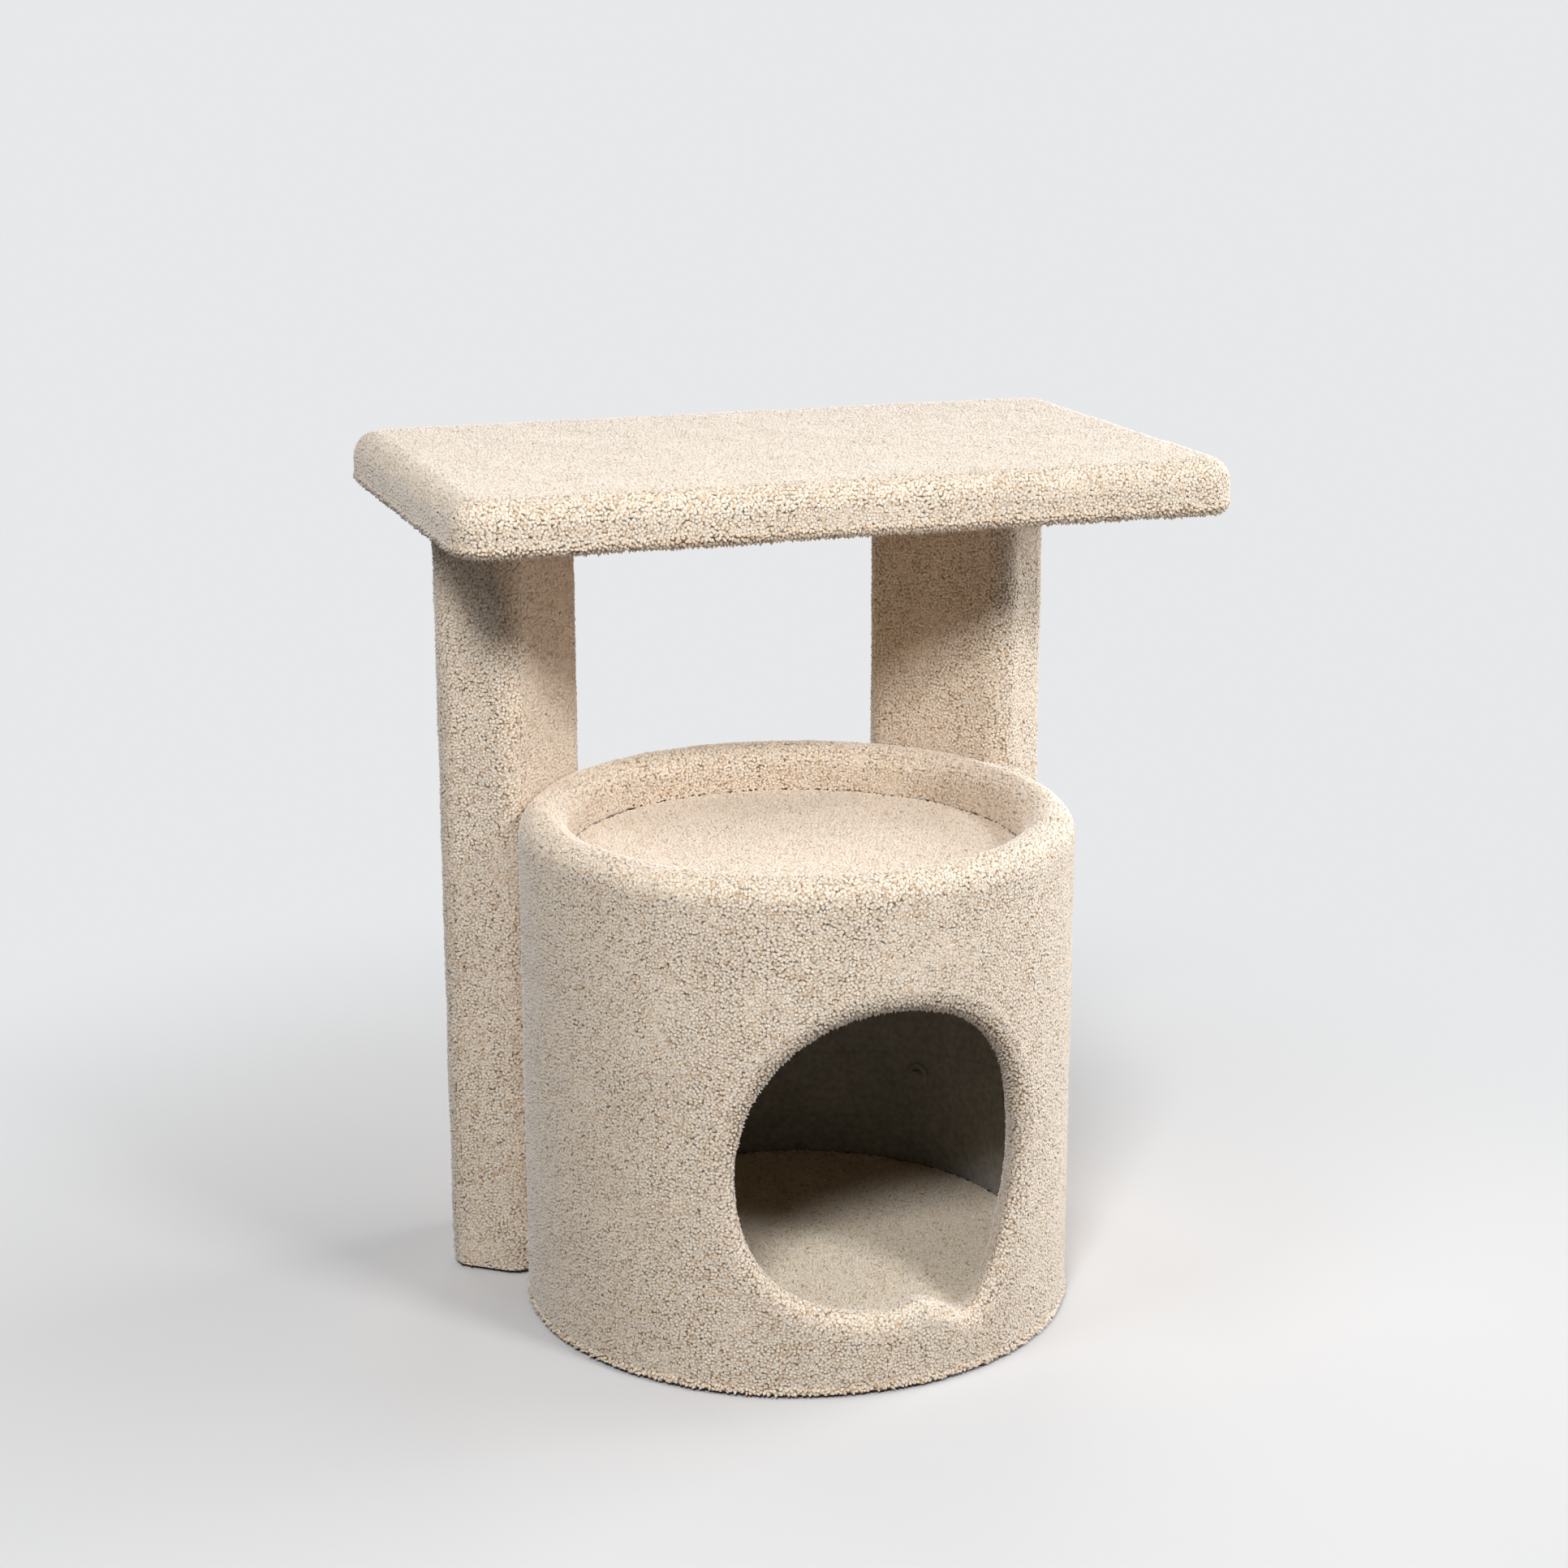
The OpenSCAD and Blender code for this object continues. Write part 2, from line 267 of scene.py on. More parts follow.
def rounded_block(length: float, width: float, low: float, high: float, corner: float, rings: int = 6,
                  levels: int = 1) -> Piece:
    """Makes an upright block with rounded vertical edges, centred on the Z axis.

    Args:
        length: Size along X.
        width: Size along Y.
        low: Height of its underside.
        high: Height of its top.
        corner: Radius of the vertical edges.
        rings: Steps around each corner.
        levels: Number of bands up its sides.

    Returns:
        The block.
    """
    deselect()
    bpy.ops.mesh.primitive_plane_add(size=1, location=(0, 0, low))
    block = bpy.context.object
    block.scale = (length, width, 1)
    bpy.ops.object.transform_apply(location=True, rotation=True, scale=True)
    with editing(block):
        pick_all()
        bpy.ops.mesh.bevel(offset=corner, offset_type="OFFSET", segments=rings, affect="VERTICES")
        pick_all()
        for _ in range(levels):
            extrude(0, 0, (high - low) / levels)
    outward(block)
    return block


def hand_over(piece: Piece, replaces: tuple[str, ...] = ()) -> None:
    """Ties a finished piece to the frame and reports it.

    Args:
        piece: The finished piece.
        replaces: CAD nodes that it stands for.
    """
    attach(piece, BODY)
    if replaces:
        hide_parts(*replaces)
    triangles = sum(len(face.vertices) - 2 for face in piece.data.polygons)
    log.info("%s: %d triangles", piece.name, triangles)


class NodeBench:
    """Builds one node tree with short calls."""

    def __init__(self, tree: bpy.types.NodeTree) -> None:
        """Takes the node tree to build."""
        self.tree = tree

    def link(self, value: object, socket: Socket) -> None:
        """Links an output into an input, or sets the input's value."""
        if isinstance(value, Socket):
            self.tree.links.new(value, socket)
        else:
            socket.default_value = value

    def feed(self, node: bpy.types.Node, **sockets: object) -> None:
        """Links or sets named inputs of a node.

        Args:
            node: The node.
            sockets: Input names with underscores for spaces, each with a value or an output socket.
        """
        for name, value in sockets.items():
            wanted = name.replace("_", " ")
            self.link(value, next(s for s in node.inputs if s.name == wanted and s.enabled))

    def add(self, kind: str, **settings: object) -> bpy.types.Node:
        """Adds a node, sets its properties and feeds its inputs.

        Args:
            kind: Node type.
            settings: The node's own properties in lower case, and its inputs with a capital.

        Returns:
            The node.
        """
        node = self.tree.nodes.new(kind)
        for name, value in settings.items():
            if name[0].islower():
                setattr(node, name, value)
        self.feed(node, **{name: value for name, value in settings.items() if name[0].isupper()})
        return node

    def get(self, kind: str, **settings: object) -> Socket:
        """Adds a node and returns the first of its outputs that is in use."""
        return next(s for s in self.add(kind, **settings).outputs if s.enabled)

    def math(self, operation: str, first: object, second: object) -> Socket:
        """Returns the output of a Math node on two values or sockets."""
        node = self.add("ShaderNodeMath", operation=operation)
        self.link(first, node.inputs[0])
        self.link(second, node.inputs[1])
        return node.outputs[0]

    def blend(self, factor: object, first: object, second: object, mode: str = "MIX") -> Socket:
        """Returns the colour of a Mix node."""
        return self.get("ShaderNodeMix", data_type="RGBA", blend_type=mode, Factor=factor, A=first, B=second)

    def spread(self, value: Socket, start: float, end: float, low: object = 0.0, high: object = 1.0) -> Socket:
        """Returns a value stretched from the range start to end into the range low to high."""
        return self.get("ShaderNodeMapRange", Value=value, From_Min=start, From_Max=end, To_Min=low, To_Max=high)

    def random(self, kind: str, low: object, high: object, seed: int) -> Socket:
        """Returns a random value of a kind for each point or instance."""
        return self.get("FunctionNodeRandomValue", data_type=kind, Min=low, Max=high, Seed=seed)


class MaterialBench(NodeBench):
    """Builds one surface material around a Principled shader."""

    def __init__(self, name: str) -> None:
        """Makes the material with its shader.

        Args:
            name: Name of the material.
        """
        self.material = bpy.data.materials.new(name)
        self.material.use_nodes = True
        self.material.node_tree.nodes.clear()
        super().__init__(self.material.node_tree)
        self.shader = self.add("ShaderNodeBsdfPrincipled")
        self.out = self.add("ShaderNodeOutputMaterial", Surface=self.shader.outputs[0])
        self.place = self.add("ShaderNodeTexCoord").outputs["Object"]

    def shade(self, **sockets: object) -> None:
        """Links or sets inputs of the shader."""
        self.feed(self.shader, **sockets)

    def effect(self, kind: Effect, **sockets: object) -> bpy.types.Node:
        """Places a shared effect in the material."""
        return self.add("ShaderNodeGroup", node_tree=bpy.data.node_groups[kind.value], **sockets)

    def cloud(self, scale: float, low: float, high: float) -> Socket:
        """Returns cloudy patches between two values, at a scale."""
        return self.effect(Effect.PATCHES, Vector=self.place, Scale=scale, Low=low, High=high).outputs["Value"]

    def named(self, attribute: str, output: str = "Fac") -> Socket:
        """Returns an output of an attribute of the piece."""
        return self.add("ShaderNodeAttribute", attribute_name=attribute).outputs[output]

    def relief(self, height: Socket, strength: float, depth: float) -> Socket:
        """Returns the normal of a bump."""
        return self.get("ShaderNodeBump", Height=height, Strength=strength, Distance=depth)

    def ramp(self, factor: Socket, stops: list[tuple[float, Colour]]) -> Socket:
        """Returns the colour of a ramp with the given places and colours."""
        node = self.add("ShaderNodeValToRGB", Fac=factor)
        points = node.color_ramp.elements
        while len(points) < len(stops):
            points.new(1.0)
        for point, (place, colour) in zip(points, stops):
            point.position = place
            point.color = colour
        return node.outputs[0]


def new_group(effect: Effect, inputs: dict[str, float], outputs: tuple[str, ...]) -> NodeBench:
    """Makes an empty shader group with a vector input and named numbers.

    Args:
        effect: The effect that the group is for.
        inputs: Names and first values of its number inputs.
        outputs: Names of its number outputs.

    Returns:
        Its bench.
    """
    tree = bpy.data.node_groups.new(effect.value, "ShaderNodeTree")
    tree.interface.new_socket("Vector", in_out="INPUT", socket_type="NodeSocketVector")
    for name, value in inputs.items():
        tree.interface.new_socket(name, in_out="INPUT", socket_type="NodeSocketFloat").default_value = value
    for name in outputs:
        tree.interface.new_socket(name, in_out="OUTPUT", socket_type="NodeSocketFloat")
    return NodeBench(tree)


def build_effects() -> None:
    """Builds the groups for cloudy patches, as in trodden pile or pulp, and for long grain lines of wood."""
    bench = new_group(Effect.PATCHES, {"Scale": 20.0, "Low": 0.9, "High": 1.1}, ("Value",))
    given = bench.add("NodeGroupInput").outputs
    noise = bench.get("ShaderNodeTexNoise", Vector=given["Vector"], Scale=given["Scale"], Detail=3.0,
                      Roughness=0.55)
    bench.add("NodeGroupOutput", Value=bench.spread(noise, 0.3, 0.7, given["Low"], given["High"]))

    bench = new_group(Effect.GRAIN, {"Scale": 60.0, "Wander": 4.0}, ("Line", "Pore"))
    given = bench.add("NodeGroupInput").outputs
    wave = bench.add("ShaderNodeTexWave", Vector=given["Vector"], Scale=given["Scale"], Distortion=given["Wander"],
                     Detail=3.0, Detail_Scale=0.6)
    fine = bench.get("ShaderNodeTexNoise", Vector=given["Vector"], Scale=900.0, Detail=4.0)
    bench.add("NodeGroupOutput", Line=wave.outputs["Fac"], Pore=bench.spread(fine, 0.42, 0.62))


@dataclass(frozen=True)
class Finish:
    """A finish of one or more pieces.

    Attributes:
        name: Name of its material.
    """

    name: str

    def build(self) -> bpy.types.Material:
        """Returns the finish as a new material."""
        bench = MaterialBench(self.name)
        self.paint(bench)
        return bench.material

    def paint(self, bench: MaterialBench) -> None:
        """Builds the nodes of the finish.

        Args:
            bench: Bench of its material.
        """
        raise NotImplementedError


@dataclass(frozen=True)
class PileFinish(Finish):
    """Yarn of the cut pile: cream to brown flecks, with painted shade darkening each tuft towards its root.

    Attributes:
        cream: Lightest and most common yarn.
        oat: Second yarn.
        tan: Third yarn.
        brown: Darkest and rarest yarn.
        root: Share of the colour that is left at the root, painted shade deep between the tufts.
        plush: How far the shading follows the ground instead of the single tuft.
    """

    name: str = "cut_pile_yarn"
    cream: Colour = rgb(0.88, 0.745, 0.61)
    oat: Colour = rgb(0.83, 0.675, 0.525)
    tan: Colour = rgb(0.75, 0.58, 0.43)
    brown: Colour = rgb(0.63, 0.465, 0.33)
    root: Colour = rgb(0.97, 0.92, 0.86)
    plush: float = 0.88

    def paint(self, bench: MaterialBench) -> None:
        """Mixes the yarns tuft by tuft, with fine fibres, painted shade towards the roots, soft shading and a dusty
        sheen.
        """
        yarn = bench.ramp(bench.named("tone"), [(0.0, self.brown), (0.07, self.tan), (0.24, self.oat),
                                                (0.55, self.cream), (1.0, self.cream)])
        # Painted shade: the yarn darkens and warms from the tip down to the root, where the neighbouring tufts shade
        # it.
        depth = bench.blend(bench.spread(bench.named("along"), 0.35, 0.95), self.root, rgb(1.0, 1.0, 1.0))
        fibre = bench.math("MULTIPLY", bench.cloud(22.0, 0.96, 1.04), bench.cloud(1000.0, 0.77, 1.16))
        shade = bench.blend(1.0, depth, fibre, "MULTIPLY")
        own = bench.add("ShaderNodeNewGeometry").outputs["Normal"]
        soft = bench.get("ShaderNodeMix", data_type="VECTOR", Factor=self.plush, A=own,
                         B=bench.named("stand", "Vector"))
        bench.shade(Base_Color=bench.blend(1.0, yarn, shade, "MULTIPLY"),
                    Normal=bench.get("ShaderNodeVectorMath", operation="NORMALIZE", Vector=soft),
                    Roughness=0.95, Specular_IOR_Level=0.15, Sheen_Weight=0.38, Sheen_Roughness=0.5,
                    Subsurface_Weight=0.5, Subsurface_Radius=(1.0, 0.95, 0.9), Subsurface_Scale=1.6 * MM)


@dataclass(frozen=True)
class GroundFinish(Finish):
    """Packed yarn roots between the tufts, coloured a little darker than the yarn as painted shade between the
    tufts.

    Attributes:
        base: Main colour.
        speck: Colour of the lighter yarn roots.
    """

    name: str = "pile_roots"
    # Painted shade: the roots are darker than the yarn above them, standing in for the shade down between the tufts.
    base: Colour = rgb(0.76, 0.645, 0.52)
    speck: Colour = rgb(0.83, 0.715, 0.59)

    def paint(self, bench: MaterialBench) -> None:
        """Packs the roots side by side."""
        cells = bench.add("ShaderNodeTexVoronoi", Vector=bench.place, Scale=380.0).outputs["Distance"]
        mask = bench.spread(cells, 0.1, 0.6, 1.0, 0.0)
        bench.shade(Base_Color=bench.blend(mask, self.base, self.speck), Normal=bench.relief(mask, 0.6, 1 * MM),
                    Roughness=0.95, Specular_IOR_Level=0.1)


@dataclass(frozen=True)
class BackingFinish(Finish):
    """Woven backing of the carpet, seen on cut edges and inner faces.

    Attributes:
        thread: Colour of the raised threads.
        hollow: Colour between the threads.
    """

    name: str = "carpet_backing"
    thread: Colour = rgb(0.62, 0.54, 0.43)
    hollow: Colour = rgb(0.36, 0.29, 0.22)

    def paint(self, bench: MaterialBench) -> None:
        """Crosses two sets of threads."""
        warp, weft = (bench.add("ShaderNodeTexWave", bands_direction=way, Vector=bench.place, Scale=110.0,
                                Distortion=1.0).outputs["Fac"] for way in ("Z", "DIAGONAL"))
        weave = bench.math("MAXIMUM", warp, weft)
        colour = bench.blend(weave, self.hollow, self.thread)
        bench.shade(Base_Color=bench.blend(1.0, colour, bench.cloud(30.0, 0.85, 1.1), "MULTIPLY"),
                    Normal=bench.relief(weave, 0.5, 0.8 * MM), Roughness=0.9)


@dataclass(frozen=True)
class FibreFinish(Finish):
    """Wound paper fibre of the tube.

    Attributes:
        paper: Main colour.
        seam: Colour of the overlap lines of the winding.
        climb: Turns of the winding in each metre of height.
    """

    name: str = "wound_fibre"
    paper: Colour = rgb(0.30, 0.295, 0.27)
    seam: Colour = rgb(0.255, 0.25, 0.228)
    climb: float = 8.0

    def paint(self, bench: MaterialBench) -> None:
        """Winds the paper up the tube, with pulp in it and a line at each overlap."""
        split = bench.add("ShaderNodeSeparateXYZ", Vector=bench.place).outputs
        turn = bench.math("MULTIPLY", bench.math("ARCTAN2", split["Y"], split["X"]), 1 / (2 * math.pi))
        wound = bench.math("ADD", bench.math("MULTIPLY", split["Z"], self.climb), turn)
        line = bench.spread(bench.math("PINGPONG", wound, 0.5), 0.0, 0.012, 1.0, 0.0)
        pulp = bench.cloud(240.0, 0.8, 1.2)
        mottle = bench.math("MULTIPLY", pulp, bench.cloud(12.0, 0.85, 1.15))
        height = bench.math("SUBTRACT", bench.math("MULTIPLY", pulp, 0.2), line)
        bench.shade(Base_Color=bench.blend(1.0, bench.blend(line, self.paper, self.seam), mottle, "MULTIPLY"),
                    Normal=bench.relief(height, 0.3, 0.6 * MM), Roughness=0.85)


@dataclass(frozen=True)
class WoodFinish(Finish):
    """Bare wood with grain along one axis.

    Attributes:
        light: Colour of the early wood.
        dark: Colour of the grain lines.
        stretch: Scale of the coordinates along X, Y and Z; small along the grain.
        scale: Number of grain lines.
        wander: How far the lines wander.
    """

    light: Colour
    dark: Colour
    stretch: tuple[float, float, float]
    scale: float
    wander: float

    def paint(self, bench: MaterialBench) -> None:
        """Draws the grain lines and the pores."""
        along = bench.get("ShaderNodeMapping", Vector=bench.place, Scale=self.stretch)
        grain = bench.effect(Effect.GRAIN, Vector=along, Scale=self.scale, Wander=self.wander).outputs
        line = bench.math("MULTIPLY", bench.math("POWER", grain["Line"], 2.0), 0.7)
        pore = bench.math("MULTIPLY", grain["Pore"], 0.25)
        colour = bench.blend(pore, bench.blend(line, self.light, self.dark), self.dark)
        bench.shade(Base_Color=bench.blend(1.0, colour, bench.cloud(9.0, 0.88, 1.08), "MULTIPLY"),
                    Normal=bench.relief(grain["Pore"], 0.25, 0.4 * MM), Roughness=0.72)


@dataclass(frozen=True)
class SteelFinish(Finish):
    """Coated steel of screws, washers and staples.

    Attributes:
        bright: Colour of the clean coating.
        dull: Colour of the clouded coating.
        metal: How metallic the coating looks.
    """

    bright: Colour
    dull: Colour
    metal: float

    def paint(self, bench: MaterialBench) -> None:
        """Clouds the coating."""
        cloud = bench.cloud(420.0, 0.0, 1.0)
        bench.shade(Base_Color=bench.blend(cloud, self.dull, self.bright), Metallic=self.metal,
                    Roughness=bench.spread(cloud, 0.0, 1.0, 0.65, 0.4))


class Wardrobe:
    """All finishes of the condo, built once."""

    def __init__(self) -> None:
        """Builds the shared effects and every material."""
        build_effects()
        self.pile = PileFinish().build()
        # Painted light: the cabin floor's yarn is lighter and warmer than the same carpet elsewhere, standing in for
        # the warm bounce light inside the cabin.
        self.floor_pile_painted_light = PileFinish("cabin_floor_yarn", rgb(0.97, 0.83, 0.665), rgb(0.95, 0.79, 0.59),
                                     rgb(0.90, 0.69, 0.48), rgb(0.72, 0.50, 0.31)).build()
        self.hem_pile = PileFinish("hem_yarn", plush=0.6).build()
        self.ground = GroundFinish().build()
        self.backing = BackingFinish().build()
        self.fibre = FibreFinish().build()
        self.board = WoodFinish("raw_plywood", rgb(0.62, 0.45, 0.27), rgb(0.42, 0.27, 0.14), (0.12, 1.0, 1.0),
                                26.0, 5.0).build()
        self.timber = WoodFinish("planed_softwood", rgb(0.70, 0.52, 0.31), rgb(0.47, 0.30, 0.15), (1.0, 1.0, 0.05),
                                 55.0, 3.0).build()
        self.zinc = SteelFinish("zinc_plate", rgb(0.46, 0.46, 0.47), rgb(0.30, 0.30, 0.31), 1.0).build()
        # Painted shade: the grey coating is given the tube wall's colour, so the screws, washers and staples inside
        # the cabin stay lost in its shade.
        self.coated_painted_shade = SteelFinish("grey_phosphate", rgb(0.29, 0.285, 0.26), rgb(0.26, 0.255, 0.235), 0.1).build()


@dataclass
class PileMaker:
    """Raises tufts of cut yarn on the ground of a carpet.

    Attributes:
        yarn: The material of its tufts.
        width: Width of a tuft across its root.
        height: Height of a tuft above the ground.
        sunk: Length of the root inside the ground.
        spacing: Least distance between two tufts.
        lean: Largest random lean of a tuft, in radians.
    """

    yarn: bpy.types.Material
    width: float = 5.6 * MM
    height: float = 1.1 * MM
    sunk: float = 0.4 * MM
    spacing: float = 1.7 * MM
    lean: float = 0.26

    SHAPES: ClassVar = ((1.0, 1.0, 0.0), (0.9, 1.15, 0.2), (1.1, 0.9, 0.12))  # girth, rise and slant of each model
    SMALLEST: ClassVar = (0.82, 0.82, 0.88)
    LARGEST: ClassVar = (1.16, 1.16, 1.1)
    UNEVEN: ClassVar = (-0.3 * MM, 0.5 * MM)  # how far a tuft stands below or above the others
    TRIES: ClassVar[float] = 9.0  # tufts tried on a square of the spacing before the close ones go

    def __post_init__(self) -> None:
        """Models the tufts that are copied all over the carpet."""
        self.tufts = bpy.data.collections.new("tufts")
        for number, (girth, rise, slant) in enumerate(self.SHAPES):
            self.tufts.objects.link(self._tuft(f"tuft_{number}", self.width * girth, self.height * rise, slant))

    def _tuft(self, name: str, width: float, height: float, slant: float) -> Piece:
        """Models one tuft of yarn, with a broad root below the origin and a slanted tip.

        Args:
            name: Name of the tuft.
            width: Width across its root.
            height: Height of its tip above the ground.
            slant: Offset of its tip to one side, as a share of its width.

        Returns:
            The tuft, outside every scene.
        """
        deselect()
        bpy.ops.mesh.primitive_cone_add(vertices=4, radius1=width / 2, radius2=0, depth=height + self.sunk,
                                        end_fill_type="NGON", location=(0, 0, (height - self.sunk) / 2))
        tuft = settle(bpy.context.object, name)
        with editing(tuft):
            pick(tuft, verts=lambda v: v.co.z > 0)
            bpy.ops.transform.translate(value=(slant * width, 0, 0))
        outward(tuft)
        along = tuft.data.attributes.new("along", "FLOAT", "POINT")
        for vertex in tuft.data.vertices:
            along.data[vertex.index].value = min(max(vertex.co.z / self.height, 0.0), 1.0)
        focus(tuft)
        bpy.ops.object.shade_smooth()
        coat(tuft, self.yarn)
        bpy.context.scene.collection.objects.unlink(tuft)
        return tuft

    def _tree(self, strip: int, seed: int) -> bpy.types.NodeTree:
        """Builds the node tree that sets tufts on one strip of a ground.

        Args:
            strip: Number of the strip.
            seed: Seed of every random choice.

        Returns:
            The geometry node tree.
        """
        tree = bpy.data.node_groups.new("raise_pile", "GeometryNodeTree")
        for way in ("INPUT", "OUTPUT"):
            tree.interface.new_socket("Geometry", in_out=way, socket_type="NodeSocketGeometry")
        bench = NodeBench(tree)
        marks = bench.get("GeometryNodeInputNamedAttribute", data_type="INT", Name="strip")
        chosen = bench.get("FunctionNodeCompare", data_type="INT", operation="EQUAL", A=marks, B=strip)
        spots = bench.add("GeometryNodeDistributePointsOnFaces", distribute_method="POISSON",
                          Mesh=bench.get("NodeGroupInput"), Selection=chosen, Distance_Min=self.spacing,
                          Density_Max=self.TRIES / self.spacing**2, Seed=seed).outputs
        rise = bench.spread(bench.get("ShaderNodeTexNoise", Scale=26.0, Detail=2.0), 0.3, 0.7, *self.UNEVEN)
        lift = bench.get("ShaderNodeVectorMath", operation="SCALE", Vector=spots["Normal"], Scale=rise)
        raised = bench.get("GeometryNodeSetPosition", Geometry=spots["Points"], Offset=lift)
        leans = bench.random("FLOAT_VECTOR", (-self.lean, -self.lean, -math.pi), (self.lean, self.lean, math.pi),
                             seed + 1)
        pose = bench.get("FunctionNodeRotateRotation", rotation_space="LOCAL", Rotation=spots["Rotation"],
                         Rotate_By=bench.get("FunctionNodeEulerToRotation", Euler=leans))
        sizes = bench.random("FLOAT_VECTOR", self.SMALLEST, self.LARGEST, seed + 2)
        models = bench.get("GeometryNodeCollectionInfo", Collection=self.tufts, Separate_Children=True,
                           Reset_Children=True)
        placed = bench.add("GeometryNodeInstanceOnPoints", Points=raised, Instance=models, Pick_Instance=True,
                           Rotation=pose, Scale=sizes)
        bench.link(bench.random("INT", 0, len(self.SHAPES) - 1, seed + 3), placed.inputs["Instance Index"])
        toned = bench.get("GeometryNodeStoreNamedAttribute", domain="INSTANCE", data_type="FLOAT", Name="tone",
                          Geometry=placed.outputs[0], Value=bench.random("FLOAT", 0.0, 1.0, seed + 4))
        stood = bench.get("GeometryNodeStoreNamedAttribute", domain="INSTANCE", data_type="FLOAT_VECTOR",
                          Name="stand", Geometry=toned, Value=spots["Normal"])
        bench.add("NodeGroupOutput", Geometry=bench.get("GeometryNodeRealizeInstances", Geometry=stood))
        return tree

    def raise_on(self, ground: Piece, strip: int, name: str, seed: int) -> Piece:
        """Raises the pile of one strip as a piece of its own.

        Args:
            ground: The carpet's ground with its strips marked.
            strip: Number of the strip.
            name: Name of the new piece.
            seed: Seed of its random choices.

        Returns:
            The pile.
        """
        focus(ground)
        bpy.ops.object.duplicate()
        pile = bpy.context.object
        coat(pile)
        tree = self._tree(strip, seed)
        finish_with(pile, "NODES", node_group=tree)
        bpy.data.node_groups.remove(tree)
        return settle(pile, name)

    def put_away(self) -> None:
        """Removes the tuft models once every pile stands."""
        for tuft in list(self.tufts.objects):
            bpy.data.objects.remove(tuft)
        bpy.data.collections.remove(self.tufts)


@dataclass
class Carpet:
    """A carpeted surface: a closed ground and the pile that stands on it.

    Attributes:
        finishes: The materials.
        pile: The maker of its pile.
        fringe: The maker of the longer tufts along its edges.
        seed: Seed of its pile.
    """

    finishes: Wardrobe
    pile: PileMaker
    fringe: PileMaker
    seed: int

    NAME: ClassVar[str] = "carpet"
    REPLACES: ClassVar[tuple[str, ...]] = ()

    def ground(self) -> Piece:
        """Models the closed ground of the carpet."""
        raise NotImplementedError

    def strip(self, centre: Vector, normal: Vector) -> int:
        """Finds what a face of the ground carries.

        Args:
            centre: Middle of the face.
            normal: Its normal.

        Returns:
            The number of a strip of pile, or a Strip.
        """
        raise NotImplementedError

    def build(self) -> None:
        """Makes the ground, raises its pile and hands both over."""
        ground = self.ground()
        coat(ground, self.finishes.ground, self.finishes.backing)
        marks = ground.data.attributes.new("strip", "INT", "FACE")
        strips: set[int] = set()
        for face in ground.data.polygons:
            number = int(self.strip(face.center, face.normal))
            marks.data[face.index].value = number
            face.material_index = int(number == Strip.BARE)
            strips.add(number)
        for number in sorted(strips - {int(Strip.BARE)}):
            edge = number == Strip.FRINGE
            maker, name = (self.fringe, "fringe") if edge else (self.pile, f"pile_{number + 1}")
            tufts = maker.raise_on(ground, number, f"{self.NAME}_{name}", self.seed + 10 * number)
            hand_over(tufts)
        smooth(settle(ground, f"{self.NAME}_ground"))
        hand_over(ground, self.REPLACES)


@dataclass(frozen=True)
class Cut:
    """A place where the hand-cut entrance leaves a plain oval.

    Attributes:
        angle: Angle around the entrance, from the right and up, in degrees.
        deep: How far the edge runs outside the oval, or inside where below zero.
        before: Width of the place on its clockwise side, in degrees.
        after: Width of the place on its other side, in degrees.
    """

    angle: float
    deep: float
    before: float
    after: float

    def at(self, turn: float) -> float:
        """Returns what the cut adds at an angle in radians."""
        past = (math.degrees(turn) - self.angle + 180) % 360 - 180
        return self.deep * math.exp(-(past / (self.after if past > 0 else self.before)) ** 2)


